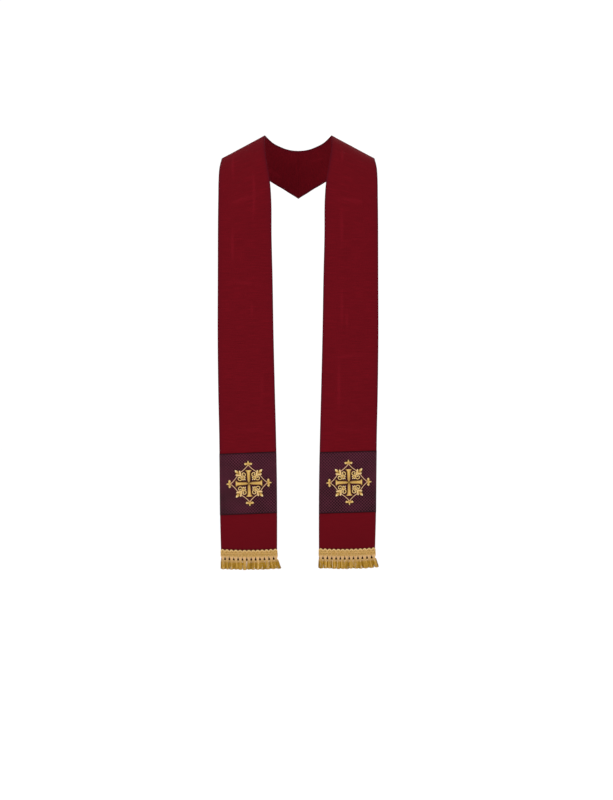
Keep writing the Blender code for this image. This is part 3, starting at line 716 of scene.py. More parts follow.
# %% Brocade
BAND_HEIGHT = 0.1540
BAND_THICK = 0.0010
BROCADE_GROUND = "#090304"
BROCADE_PLUM_SHEEN = "#2c0b17"
BROCADE_FIGURE = "#612e3c"
BROCADE_RIM_SHADOW = "#140407"
LOZENGE = 0.0075
LINE_EDGE, LINE_CORE = 0.125 * LOZENGE, 0.025 * LOZENGE
FIGURE_TINT = 0.9
TWILL_PITCH, TWILL_RELIEF, TWILL_DEPTH = 0.0012, 0.2, 0.00025
PLUM_SHEEN_PATCH, PLUM_SHEEN_RANGE = (0.06, 0.045), (0.35, 0.70)
LIT_TOP, LIT_TINT = 0.09, 0.55

brocade, node, shader = new_finish(
    "aubergine_brocade", {"Roughness": 0.6, "IOR": 1.5, "Specular IOR Level": 0.04}
)
uv, across, along = cloth_uv(node)
waves = [node("Math", (way, LOZENGE / 2), operation="PINGPONG") for way in (across, along)]
off_line = node("Math", (node("Math", waves, operation="ADD"), LOZENGE / 2), operation="SUBTRACT")
off_line = node("Math", (off_line,), operation="ABSOLUTE")
figure = node("MapRange", (off_line, LINE_EDGE, LINE_CORE))

# Painted sheen: plum patches, and a lighter top of the band
patches = stretched_noise(node, uv, *PLUM_SHEEN_PATCH, Detail=2.0, Roughness=0.55)
lit_top = node("MapRange", (along, 0.0, LIT_TOP, LIT_TINT, 0.0))
plum_sheen_share = node("Math", (node("MapRange", (patches, *PLUM_SHEEN_RANGE)), lit_top), operation="ADD")
figure_share = node("Math", (figure, FIGURE_TINT), operation="MULTIPLY")
edge_shade_mask = node("Attribute", {}, output=2, attribute_name="edge_shade_mask")
# Painted sheen in plum, then the woven figure, then painted shadow at the rims
colour = linear(BROCADE_GROUND)
for share, other in ((plum_sheen_share, BROCADE_PLUM_SHEEN), (figure_share, BROCADE_FIGURE), (edge_shade_mask, BROCADE_RIM_SHADOW)):
    colour = node("Mix", {0: share, 6: colour, 7: linear(other)}, **COLOURS)

twill = sine_wave(node, node("Math", (across, along), operation="ADD"), TWILL_PITCH)
relief = node("Math", (twill, TWILL_RELIEF, figure), operation="MULTIPLY_ADD")
bump = node("Bump", {"Height": relief, "Strength": 0.5, "Distance": TWILL_DEPTH})
fill_inputs(shader, {"Base Color": colour, "Normal": bump})
print("brocade nodes:", len(brocade.node_tree.nodes))

# %% Bands
BAND_ROW_STEP = 0.0025
RIM_WIDTH, RIM_LEVEL = 0.007, 0.4
RIM_SHADE = 0.0026
RIM_HEIGHT = 0.00022
PUCKER_HEIGHT = 0.00012
PUCKER_PITCH = 0.013


def band_place(side, along, across, height):
    """Place on a band for a way down it, a way across it and a height above its face.

    The rows slope by the band's turn, and its turned rims stand up with a sine of puckers along them."""
    end = ENDS[side]
    level = end.band_z + BAND_HEIGHT / 2 - along
    inner_x, outer_x = edges_at(level)
    share = across / (outer_x - inner_x)
    z = level + end.outward * math.tan(end.band_turn) * (share - 0.5) * (outer_x - inner_x)
    inner_x, outer_x = edges_at(z)
    to_rim = np.minimum(along, BAND_HEIGHT - along)
    rim = RIM_HEIGHT * (1.0 - smooth_step(to_rim / RIM_WIDTH - RIM_LEVEL))
    pucker = PUCKER_HEIGHT * np.sin(2 * math.pi * across / PUCKER_PITCH) * np.exp(-to_rim / RIM_WIDTH)
    lift = np.where(height > -BAND_THICK / 2, rim + pucker, 0.0)
    x = inner_x + share * (outer_x - inner_x)
    return on_front(x, z, LAY_GAP + BAND_THICK + height + lift, side)


def band_width(side, rows):
    """Width of a band at each way down it."""
    inner_x, outer_x = edges_at(ENDS[side].band_z + BAND_HEIGHT / 2 - rows)
    return outer_x - inner_x


for side in ("left", "right"):
    place, width_at = partial(band_place, side), partial(band_width, side)
    rings, uv_map = turned_sheet(place, BAND_HEIGHT, width_at, BAND_THICK, BAND_ROW_STEP, FACE_COLUMNS)
    band = add_piece(side, "band", [(rings, uv_map)], brocade)
    to_rim = np.minimum(uv_map[..., 1], BAND_HEIGHT - uv_map[..., 1])
    # Painted shadow along the turned rims
    add_number(band.data, "edge_shade_mask", np.exp(-((to_rim / RIM_SHADE) ** 2)))
    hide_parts(f"band_{side}")

# %% [markdown]
# ## Satin stitch
#
# The cross is worked in satin stitch over padding: gold threads lie side by side across each arm, and the
# padding gives it a round back. The thread is twisted rayon, smooth and bright, so each one shows a light
# back beside a dark furrow, and the furrows are deepened by painted shade. It is drawn at 0.9 mm, some three
# times as coarse as real, so that the threads show. A couched cord is two such threads twisted together,
# with ridges at 45 degrees. The brown outline is matt cotton, which sets the gold off, and its dark ring
# round the gold is partly painted shade.
#
# A bar of satin stitch is a path with a width at each point. Half an ellipse is carried along it, and its
# height falls to nothing in a short round at both ends. Where the four arms meet, each narrows to a point
# at the middle, which leaves the dark mitre that a worker stitches there, deepened by painted shade. Every
# bar's foot is painted in shade, and the ends of many bars carry a painted highlight.

# %% Gold thread
# Each thread's four colours: painted shade at its edge and in its furrows, its body, and its lightest threads
SATIN_COLOURS = ("#5c3814", "#8f6424", "#c79a36", "#e6c476")
CORD_COLOURS = ("#9a7350", "#b98d64", "#d9ae84", "#ecc9a4")
GIMP_COLOURS = ("#80591f", "#ab803a", "#d9ad50", "#f0cc94")
GOLD_HIGHLIGHT = "#efd6a6"
OUTLINE_DARK, OUTLINE_LIGHT = "#210b0a", "#3f1b12"
SATIN_PITCH, CORD_PITCH, GIMP_PITCH = 0.0009, 0.0013, 0.0012
TONE_THREADS = 0.44
WORKED_PATCH, WORKED_TINT = (0.006, 0.004), 0.4
RIDGE_RANGE, TONE_RANGE = (-1.0, 0.6), (0.38, 0.66)
FOOT_SHADE_RANGE, HIGHLIGHT_RANGE = (0.48, 0.96), (1.0, 1.6)
FUZZ_PATCH = (0.0012, 0.003)


def gold_thread(name, colours, slant, pitch, depth, constants):
    """Rayon thread: slanted ridges, a tone for each, painted shade in its furrows and foot, and painted
    highlights.
    """
    edge, deep, base, light, pale = (linear(colour) for colour in (*colours, GOLD_HIGHLIGHT))
    made, node, shader = new_finish(name, {"IOR": 1.52, **constants})
    uv, along, across = cloth_uv(node)
    slanted = node("Math", (across, slant, along), operation="MULTIPLY_ADD")
    ridge = node("MapRange", (sine_wave(node, slanted, pitch), *RIDGE_RANGE))
    tone_scale = 1 / (TONE_THREADS * pitch)
    tone = node("TexNoise", {"W": slanted, "Scale": tone_scale, "Detail": 1.0}, noise_dimensions="1D")
    worked = stretched_noise(node, uv, *WORKED_PATCH, Detail=1.0)
    mixed = node("Mix", {0: WORKED_TINT, 2: tone, 3: worked})
    crown = node("Attribute", {}, output=2, attribute_name="crown")
    colour = node("Mix", {0: node("MapRange", (mixed, *TONE_RANGE)), 6: base, 7: light}, **COLOURS)
    # Painted shade in the furrows between threads
    colour = node("Mix", {0: ridge, 6: deep, 7: colour}, **COLOURS)
    # Painted shade down the foot of the bar, where the crown is low
    colour = node("Mix", {0: node("MapRange", (crown, *FOOT_SHADE_RANGE)), 6: edge, 7: colour}, **COLOURS)
    # Painted highlight where the crown passes 1
    colour = node("Mix", {0: node("MapRange", (crown, *HIGHLIGHT_RANGE)), 6: colour, 7: pale}, **COLOURS)
    bump = node("Bump", {"Height": ridge, "Strength": 0.6, "Distance": depth})
    fill_inputs(shader, {"Base Color": colour, "Normal": bump})
    return made


satin_shine = {"Roughness": 0.4, "Specular IOR Level": 0.22}
satin_gold = gold_thread(
    "gold_satin_stitch", SATIN_COLOURS, slant=0.35, pitch=SATIN_PITCH, depth=0.00025, constants=satin_shine
)
cord_shine = {"Roughness": 0.45, "Specular IOR Level": 0.15}
line_gold = gold_thread(
    "gold_couched_cord", CORD_COLOURS, slant=1.0, pitch=CORD_PITCH, depth=0.0003, constants=cord_shine
)
# The outline's dark brown ring round the gold is partly thread and partly painted shade
outline_shine = {"Roughness": 0.7, "Specular IOR Level": 0.05}
outline_and_shade_brown, node, shader = new_finish("brown_outline_and_shade", outline_shine)
fuzz = stretched_noise(node, cloth_uv(node)[0], *FUZZ_PATCH)
browns = {0: fuzz, 6: linear(OUTLINE_DARK), 7: linear(OUTLINE_LIGHT)}
fill_inputs(shader, {"Base Color": node("Mix", browns, **COLOURS)})
print("thread finishes:", [made.name for made in (satin_gold, line_gold, outline_and_shade_brown)])

# %% Embroidery on the band
SATIN_AROUND = 12
# The painted shade at the foot of a bar is weaker the narrower the bar is than this, in millimetres
FOOT_SHADE_WIDTH = 8.0
FOOT_SHADE_FALL = 1.5
VEIN_WIDTH = 0.22


def on_band(flat, side):
    """Embroidery points, millimetres across, up and above the band, turned and laid where the motif is."""
    end = ENDS[side]
    across, up, above = np.moveaxis(flat * MM, -1, 0)
    turn = end.outward * end.motif_turn
    x = end.motif_x + across * math.cos(turn) - up * math.sin(turn)
    z = end.motif_z + across * math.sin(turn) + up * math.cos(turn)
    return on_front(x, z, LAY_GAP + BAND_THICK + LAY_GAP + above, side)


def path_frame(path):
    """Unit ways to the left of a path as seen from the front, and the length along it, at each point."""
    run = np.gradient(path[:, :2], axis=0)
    run /= np.linalg.norm(run, axis=1, keepdims=True)
    return points_from(-run[:, 1], run[:, 0]), length_along(path)


def satin_bar(path, widths, height, vein=0.0, end_round=1.1, pale=(0.0, 0.0)):
    """Half an ellipse carried along a flat path: rings in millimetres, and their UV in metres and crown.

    vein is how deep a groove runs along the middle, as a share of the height. The crown sets painted shade:
    it falls less at the edge of a narrow bar, whose foot then has little shade, and pale raises it past 1 at
    the start or end for a painted highlight, or lowers it there for painted shade."""
    widths = np.asarray(widths, float)
    left, along = path_frame(path)
    to_end = np.clip(np.minimum(along, along[-1] - along) / end_round, 0.03, 1.0)
    fullness = np.sqrt(1.0 - (1.0 - to_end) ** 2)
    angle = np.linspace(math.pi, 0.0, SATIN_AROUND)
    across = np.cos(angle)[None, :] * widths[:, None] / 2
    groove = 1.0 - vein * np.exp(-((np.cos(angle) / VEIN_WIDTH) ** 2))
    above = height * fullness[:, None] * (np.sin(angle) * groove)[None, :]
    flat = path[:, None, :] + left[:, None, :] * across[..., None]
    foot = (1.0 - above / height) * np.clip(widths / FOOT_SHADE_WIDTH, 0.0, 1.0)[:, None] ** FOOT_SHADE_FALL
    share = (along / along[-1])[:, None]
    crown = (1.0 - foot) * (1.0 + pale[0] * (1.0 - share) ** 2 + pale[1] * share**2)
    places = points_from(along[:, None] * MM, across * MM, crown)
    return np.concatenate([flat, above[..., None]], axis=-1), places


def turned_flat(flat, quarter):
    """Flat points turned by quarters about the motif's middle."""
    cos, sin = round(math.cos(quarter * math.pi / 2)), round(math.sin(quarter * math.pi / 2))
    x, y, above = np.moveaxis(flat, -1, 0)
    return points_from(x * cos - y * sin, x * sin + y * cos, above)


print("middle of the left motif, x, y, z:", on_band(np.zeros(3), "left").round(4))

# %% Cross
# Millimetres out along an arm, and half the arm's width there
ARM_LENGTHS = (0.0, 4.0, 7.5, 26.0, 29.2, 31.6, 33.4)
ARM_HALF_WIDTHS = (0.0, 2.5, 4.3, 4.6, 5.8, 8.6, 9.6)
# Painted shade at the middle of each arm, to deepen the mitre, and a painted highlight at its end
ARM_PALE = (-0.25, 0.16)
ARM_STATIONS = np.concatenate(
    [np.linspace(0.15, 7.0, 12), np.linspace(7.8, 28.8, 24), np.linspace(29.2, 33.4, 9)]
)
CROSS_HEIGHT = 2.1


def cross_arm(grow=0.0, height=CROSS_HEIGHT):
    """One arm: a satin bar that grows from a point at the middle and spreads at its end.

    grow makes it wider, and longer by half as much, for the outline under it."""
    widths = 2 * np.interp(ARM_STATIONS, ARM_LENGTHS, ARM_HALF_WIDTHS) + grow
    reach = ARM_STATIONS * (1.0 + grow / 2 / ARM_LENGTHS[-1])
    return satin_bar(points_from(reach, 0.0), widths, height, end_round=1.4, pale=ARM_PALE)


def laid_on(flat_bars, side):
    """Flat bars of one quarter, turned to each quarter of the motif and laid on the band."""
    return [(on_band(turned_flat(flat, quarter), side), uv) for quarter in range(4) for flat, uv in flat_bars]


for side in ("left", "right"):
    cross = add_piece(side, "cross", laid_on([cross_arm()], side), satin_gold)
    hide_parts(f"cross_{side}")

# %% [markdown]
# ## Scrolls, leaves and lines
#
# Round the cross stand the scrolls of church ironwork, as old as such crosses are. In each quarter two S
# scrolls cross on the diagonal and end as leaves, with a spine between them and a leaf in the corner. Thin
# couched cords join the corners to a three-leaved tip beyond each arm. A spiral is an angle and a radius
# that grow together, and a bar is a Bezier curve, so one quarter is worked out and turned four times. The
# brown outline is the same bars once more under all of it, a little wider and flatter. Its dark ring round
# the gold is partly outline thread and partly painted shade.

# %% Scrollwork
# Places are in millimetres from the middle of the motif, and angles in degrees
EYE_CENTRE = np.array([12.8, 22.3])
TURN_SHARES, TURN_RADII = (0.0, 0.40, 0.8, 1.0), (1.1, 4.3, 5.0, 5.6)
JOIN_ANGLE = -57.0
SCROLL_TURNS = 1.08
BAR_GUIDES = ((19.5, 19.8), (26.0, 20.6), (32.6, 22.6))
SCROLL_SHARES = (0.0, 0.25, 0.62, 0.72, 0.84, 0.93, 1.0)
SCROLL_WIDTHS = (3.2, 2.2, 2.8, 2.6, 5.0, 5.4, 2.2)
# Painted highlight at both ends of each scroll
SCROLL_PALE = (0.30, 0.36)
SCROLL_HEIGHT = 1.4
SPINE = (12.0, 27.0)
SPINE_WIDTH, SPINE_HEIGHT = 2.2, 1.2
TURN_STEPS, BAR_STEPS, SCROLL_STEPS, SPINE_STEPS = 60, 40, 90, 12


def curve(guides, count):
    """Bezier curve: the guides are blended pair by pair until one point is left for each share."""
    share = np.linspace(0.0, 1.0, count)[:, None, None]
    guides = np.broadcast_to(np.asarray(guides, float), (count, len(guides), 2))
    while guides.shape[1] > 1:
        guides = guides[:, :-1] * (1 - share) + guides[:, 1:] * share
    return guides[:, 0]


def even(path, count):
    """The same path with its points at equal steps."""
    run = length_along(path)
    at = np.linspace(0.0, run[-1], count)
    return points_from(*(np.interp(at, run, values) for values in path.T))


def scroll_path():
    """One S scroll: a spiral out of its eye, then a bar to the leaf at its tip."""
    share = np.linspace(0.0, 1.0, TURN_STEPS)
    radius = np.interp(share, TURN_SHARES, TURN_RADII)
    angle = np.radians(JOIN_ANGLE - (1 - share) * SCROLL_TURNS * 360)
    turn = points_from(radius * np.cos(angle), radius * np.sin(angle)) + EYE_CENTRE
    bar = curve([turn[-1], *BAR_GUIDES], BAR_STEPS)
    return even(np.concatenate([turn, bar[1:]]), SCROLL_STEPS)


print("scroll in mm:", round(length_along(scroll_path())[-1], 1))

# %% Leaves
LEAF_STEPS = 14
LEAF_VEIN = 0.35
ROOT_SHADE, ROOT_SHARE = 0.5, 0.22
# Outlines: shares of a leaf's length, and how wide it is there as a share of its width
POINTED = ((0.0, 0.25, 0.5, 0.75, 1.0), (0.40, 0.78, 1.0, 0.78, 0.20))
BLUNT = ((0.0, 0.35, 0.7, 0.9, 1.0), (0.70, 0.80, 1.0, 1.0, 0.62))
BULB = ((0.0, 0.22, 0.45, 0.7, 1.0), (0.45, 1.0, 0.90, 0.44, 0.20))
# pale is the painted highlight at a leaf's tip
Leaf = namedtuple("Leaf", "root turn bend length width outline height pale")
TIP_LEAVES = (
    Leaf(42.6, 0.0, 0.0, 13.8, 9.6, BULB, 1.8, 0.3),
    Leaf(46.4, 34.0, 104.0, 10.2, 6.0, BLUNT, 1.6, 0.5),
    Leaf(46.4, -34.0, -104.0, 10.2, 6.0, BLUNT, 1.6, 0.5),
)
CORNER_LEAVES = (Leaf(34.8, 0.0, 0.0, 12.8, 7.6, POINTED, 1.8, 0.8),)
INNER_LEAVES = (
    Leaf(-18.2, 0.0, 0.0, 6.2, 3.4, POINTED, 1.3, 0.9),
    Leaf(-18.2, 70.0, 0.0, 5.0, 3.0, BLUNT, 1.2, 1.0),
    Leaf(-18.2, -70.0, 0.0, 5.0, 3.0, BLUNT, 1.2, 1.0),
)


def leaf_bar(leaf, axis_angle, grow=0.0, height=None):
    """A leaf on an arc from its root on an axis, with its outline's width, and a groove as its vein.

    Its crown is lower at the root, which paints shade in the hollow where the stitches crowd."""
    axis = np.array([math.cos(axis_angle), math.sin(axis_angle)])
    direction = axis_angle + math.radians(leaf.turn) + (math.pi if leaf.root < 0 else 0.0)
    along = np.linspace(0.0, 1.0, LEAF_STEPS)
    bend = math.radians(leaf.bend) * along
    reach = leaf.length * along * np.sinc(bend / (2 * math.pi))
    way = direction + bend / 2
    path = abs(leaf.root) * axis + points_from(reach * np.cos(way), reach * np.sin(way))
    widths = np.interp(along, *leaf.outline) * leaf.width + grow
    vein = 0.0 if grow else LEAF_VEIN
    flat, places = satin_bar(path, widths, height or leaf.height, vein, pale=(0.0, leaf.pale))
    places[..., 2] *= 1.0 - ROOT_SHADE * np.exp(-((along / ROOT_SHARE) ** 2))[:, None]
    return flat, places


def quarter_bars(grow=0.0, height=None):
    """The satin bars and leaves of one quarter. grow widens each, for the outline under it."""
    diagonal = math.radians(45)
    path = scroll_path()
    widths = np.interp(np.linspace(0.0, 1.0, len(path)), SCROLL_SHARES, SCROLL_WIDTHS) + grow
    spine = np.linspace(*SPINE, SPINE_STEPS)
    thick = np.full_like(spine, SPINE_WIDTH + grow)
    scroll_height = height or SCROLL_HEIGHT
    bars = [satin_bar(each, widths, scroll_height, pale=SCROLL_PALE) for each in (path, path[:, ::-1])]
    bars.append(satin_bar(points_from(spine, spine), thick, height or SPINE_HEIGHT))
    for leaves, angle in ((CORNER_LEAVES, diagonal), (INNER_LEAVES, diagonal), (TIP_LEAVES, math.pi / 2)):
        bars += [leaf_bar(leaf, angle, grow, height) for leaf in leaves]
    return bars


print("bars and leaves in a quarter:", len(quarter_bars()))

# %% Cords, and the outline under all
LINE_GUIDES = ((0.6, 46.0), (7.5, 36.0), (21.5, 27.5))
LINE_RADIUS, LINE_STEPS = 0.95, 36
OUTLINE_GROW = 1.9
OUTLINE_HEIGHT = 0.42


def cord(path, radius, around=8):
    """A circle carried along a path of points across, up and above: rings, their UV, and a crown for painted
    shade below.
    """
    left, along = path_frame(path)
    angle = 2 * math.pi * (np.arange(around) + 0.5) / around
    flat = path[:, None, :2] + left[:, None, :] * (radius * np.cos(angle))[None, :, None]
    height = path[:, 2:3] + radius * np.sin(angle)[None, :]
    places = points_from(along[:, None] * MM, radius * angle * MM, 0.5 + 0.5 * np.sin(angle))
    return np.concatenate([flat, height[..., None]], axis=-1), places


def quarter_lines():
    """The two couched cords of one quarter, from its corner to the tips on either side."""
    path = curve(LINE_GUIDES, LINE_STEPS)
    return [cord(points_from(*line.T, LINE_RADIUS), LINE_RADIUS) for line in (path, path[:, ::-1])]


low_bars = [*quarter_bars(OUTLINE_GROW, OUTLINE_HEIGHT), cross_arm(OUTLINE_GROW, OUTLINE_HEIGHT)]
for side in ("left", "right"):
    bars, lines = laid_on(quarter_bars(), side), laid_on(quarter_lines(), side)
    scrollwork = add_piece(side, "scrollwork", bars, satin_gold)
    add_piece(side, "couched_lines", lines, line_gold)
    add_piece(side, "outline", laid_on(low_bars, side), outline_and_shade_brown)
    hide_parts(f"scrollwork_{side}")

# %% [markdown]
# ## The fringe and its heading
#
# The fringe is bought by the metre and sewn over the hem. Its heading is made of gimp cords that are plaited
# to and fro over a flat ground, with a scalloped edge at the top. They could be a bump on one flat strip, but
# real ones stand up and shade each other, so each is a sine carried across the hem as a tube. Gimp is rayon
# wound round a cotton core, so it is paler and softer than satin stitch, with ridges nearly at 45 degrees,
# drawn at 1.2 mm so that they show.

# %% Fringe places
TASSELS = 13
FRINGE_TOP_Z = -1.0506
GAP_TOP_Z = -1.0660
TIE_Z = -1.0762
TIP_Z = -1.0988
BRAID_OVERHANG = 0.0006
FLARE, FLARE_START = 0.0095, 0.50
FRINGE_WIDTH = 141.5
PITCH = FRINGE_WIDTH / TASSELS


def on_hem(flat, side):
    """Fringe points, millimetres across from the inner edge, level and above, laid over the hem.

    The fringe sags with the hem and its far side leans to the right as seen from the front."""
    share, level, above = flat[..., 0] / FRINGE_WIDTH, flat[..., 1] * MM, flat[..., 2] * MM
    inner_x, outer_x = edges_at(np.maximum(level, HEM_Z))
    from_left = share if side == "left" else 1.0 - share
    depth = np.clip((FRINGE_TOP_Z - level) / (FRINGE_TOP_Z - TIP_Z), 0.0, 1.0)
    lean = FLARE * smooth_step((from_left - FLARE_START) / (1 - FLARE_START)) ** 2 * depth**2
    x = inner_x - BRAID_OVERHANG + share * (outer_x - inner_x + 2 * BRAID_OVERHANG)
    z = level - hem_bend(HEM_Z, share, side)
    return on_front(x + ENDS[side].outward * lean, z, LAY_GAP + above, side)


print("a tassel every", round(PITCH, 2), "mm")

# %% Heading
# In millimetres, but for the crowns, the steps and the turns
# SCALLOP_CROWN lifts the scalloped cords into a painted highlight
SCALLOP, SCALLOP_ARCH, SCALLOP_CROWN = 3.6, 4.6, 1.35
GROUND_THICK, GROUND_BELOW = 1.1, 0.2
GROUND_SET_BACK = 1.4
# The ground's low crown paints it in the gimp's shade colour, as painted shade behind the cords
GROUND_CROWN = 0.35
GROUND_STEPS = 8
STEPS_TO_A_TASSEL = 22
PLAIT_STRANDS = 3
PLAIT_SWING, PLAIT_RADIUS, PLAIT_BESIDE = 5.6, 0.62, 0.55
PLAIT_DROP, PLAIT_ABOVE, PLAIT_ROLL, PLAIT_LAG = 0.4, 0.55, 0.35, 0.35
CORD_INSET = 0.3
TIE_WAVE, TIE_WAVE_TURNS = 0.12, 1.5
# The scalloped cords at the top as drop and radius, and the straight ones as level, radius and height above
EDGE_CORDS = ((0.0, 0.95), (1.7, 0.7))
EDGE_CORD_LEVEL = FRINGE_TOP_Z / MM - SCALLOP
TIE_CORDS = ((GAP_TOP_Z / MM + 0.5, 0.8, 1.3), (TIE_Z / MM, 0.85, 2.5))
gimp_shine = {"Roughness": 0.5, "Specular IOR Level": 0.15}
gimp_gold = gold_thread(
    "gold_gimp", GIMP_COLOURS, slant=0.9, pitch=GIMP_PITCH, depth=0.0003, constants=gimp_shine
)


def heading_ground():
    """The flat ground of the heading: rings round a plate whose top edge is a row of half sines."""
    across = np.linspace(0.0, FRINGE_WIDTH, TASSELS * GROUND_STEPS + 1)
    arch = np.abs(np.sin(math.pi * across / PITCH)) - 0.5
    top = FRINGE_TOP_Z / MM + SCALLOP * arch - GROUND_SET_BACK
    bottom = GAP_TOP_Z / MM - GROUND_BELOW
    ring = ((top, 0.0), (top, GROUND_THICK), (bottom, GROUND_THICK), (bottom, 0.0))
    points = np.stack([points_from(across, level, above) for level, above in ring], axis=1)
    return points, points_from(points[..., 0] * MM, points[..., 1] * MM, GROUND_CROWN)


def heading_cords():
    """Plaited and edging cords, each a sine across the heading with its own phase and height."""
    way = np.linspace(CORD_INSET, FRINGE_WIDTH - CORD_INSET, TASSELS * STEPS_TO_A_TASSEL)
    turn = 2 * math.pi * way / PITCH
    middle = (FRINGE_TOP_Z + GAP_TOP_Z) / 2 / MM - PLAIT_DROP
    cords = []
    for strand in range(PLAIT_STRANDS):
        phase = turn + strand * 2 * math.pi / PLAIT_STRANDS
        above = GROUND_THICK + PLAIT_ABOVE + PLAIT_ROLL * np.sin(2 * phase)
        for beside in (-PLAIT_BESIDE, PLAIT_BESIDE):
            level = middle + PLAIT_SWING * np.sin(phase + beside * PLAIT_LAG)
            cords.append(cord(points_from(way, level, above), PLAIT_RADIUS, around=6))
    for drop, radius in EDGE_CORDS:
        level = EDGE_CORD_LEVEL + SCALLOP_ARCH * np.abs(np.sin(turn / 2)) - drop
        flat, places = cord(points_from(way, level, GROUND_THICK), radius, around=6)
        cords.append((flat, places * (1.0, 1.0, SCALLOP_CROWN)))
    for level, radius, above in TIE_CORDS:
        wave = level + TIE_WAVE * np.sin(turn * TIE_WAVE_TURNS)
        cords.append(cord(points_from(way, wave, above), radius, around=6))
    return cords


for side in ("left", "right"):
    parts = [(on_hem(flat, side), uv) for flat, uv in [heading_ground(), *heading_cords()]]
    add_piece(side, "heading", parts, gimp_gold)

# %% [markdown]
# ## The tassels
#
# Below the heading the threads of each tassel come together in a V, are tied, and spread again. They are
# loose rayon, cut straight. Their colour carries painted light: a painted highlight where a tassel bulges
# towards the front and where it is tied, and painted shade at its sides, between the tassels. Hair particles
# could make them, but each thread is made a thin four-sided tube, so that it is a mesh, and all of them are
# worked out at once as one array.

# %% Tassel places
THREADS = 54
THREAD_AROUND = 4
# The shape of a tassel at each of its levels, and the radius of its threads there, in millimetres
Level = namedtuple("Level", "z half_width half_depth above radius")
TASSEL_LEVELS = (
    Level(-1065.0, 5.40, 0.35, 0.9, 0.30),
    Level(-1068.5, 4.80, 0.60, 1.0, 0.28),
    Level(-1071.5, 3.40, 0.80, 1.1, 0.26),
    Level(-1074.8, 2.55, 0.85, 1.1, 0.25),
    Level(-1076.2, 4.60, 0.80, 1.1, 0.28),
    Level(-1078.6, 5.25, 1.20, 1.2, 0.35),
    Level(-1084.0, 5.45, 1.75, 1.3, 0.39),
    Level(-1091.5, 5.50, 2.05, 1.3, 0.40),
    Level(-1098.8, 5.55, 2.25, 1.3, 0.37),
)
# How wide each tassel spreads under its tie, as a share of the shape above
SPREADS = {
    "left": (1.0, 1.0, 0.99, 1.0, 0.98, 1.0, 0.97, 0.99, 1.0, 0.95, 0.98, 1.0, 1.0),
    "right": (1.0, 0.99, 1.0, 0.98, 1.0, 0.99, 0.93, 0.90, 0.94, 1.0, 0.98, 0.99, 1.0),
}
print("threads in a fringe:", TASSELS * THREADS)

# %% Tassel thread
TASSEL_DEEP, TASSEL_BASE, TASSEL_LIGHT, TASSEL_TIED_HIGHLIGHT = "#74500e", "#ac821e", "#d6ab5a", "#dfb98a"
TIED_FROM, TIED_TO, TIED_HIGHLIGHT_TINT = -1.0825, -1.0745, 0.7
STREAK_PATCH, STREAK_TINT = (0.004, 0.03), 0.9

tassel_gold, node, shader = new_finish(
    "gold_tassel_thread", {"Roughness": 0.45, "IOR": 1.5, "Specular IOR Level": 0.12}
)
uv, _, level = cloth_uv(node)
tone = node("Attribute", {}, output=2, attribute_name="tone")
streaks = node("Math", (stretched_noise(node, uv, *STREAK_PATCH), 0.5), operation="SUBTRACT")
shade = node("Math", (streaks, STREAK_TINT, tone), operation="MULTIPLY_ADD")
# Painted highlight where the threads are gathered at the tie
tied = node("MapRange", (level, TIED_FROM, TIED_TO, 0.0, TIED_HIGHLIGHT_TINT))
colour = linear(TASSEL_DEEP)
for share, other in (
    (node("MapRange", (shade, 0.0, 0.55)), TASSEL_BASE),
    (node("MapRange", (shade, 0.55, 1.0)), TASSEL_LIGHT),
    (tied, TASSEL_TIED_HIGHLIGHT),
):
    colour = node("Mix", {0: share, 6: colour, 7: linear(other)}, **COLOURS)
fill_inputs(shader, {"Base Color": colour})
print("tassel thread nodes:", len(tassel_gold.node_tree.nodes))

# %% Tassels
# How far a thread strays, in millimetres, from an even row of threads cut straight
STRAY, CURL, SWING = 0.30, 0.22, 0.22
CUT_OF_THREAD, CUT_OF_TASSEL, CUT_ROUND = 0.40, 0.35, 1.7
# As shares: how uneven the row is, how far out it reaches, and how flat a tassel is towards its sides
UNEVEN, OUTERMOST, SIDES_FLAT = 0.03, 1.04, 0.75
CURL_TURNS = (1.5, 3.5)
TONE_MIDDLE, TONE_OF_THREAD, LIGHT_IN_FRONT, SHADE_AT_SIDES = 0.58, 0.22, 0.16, 0.42


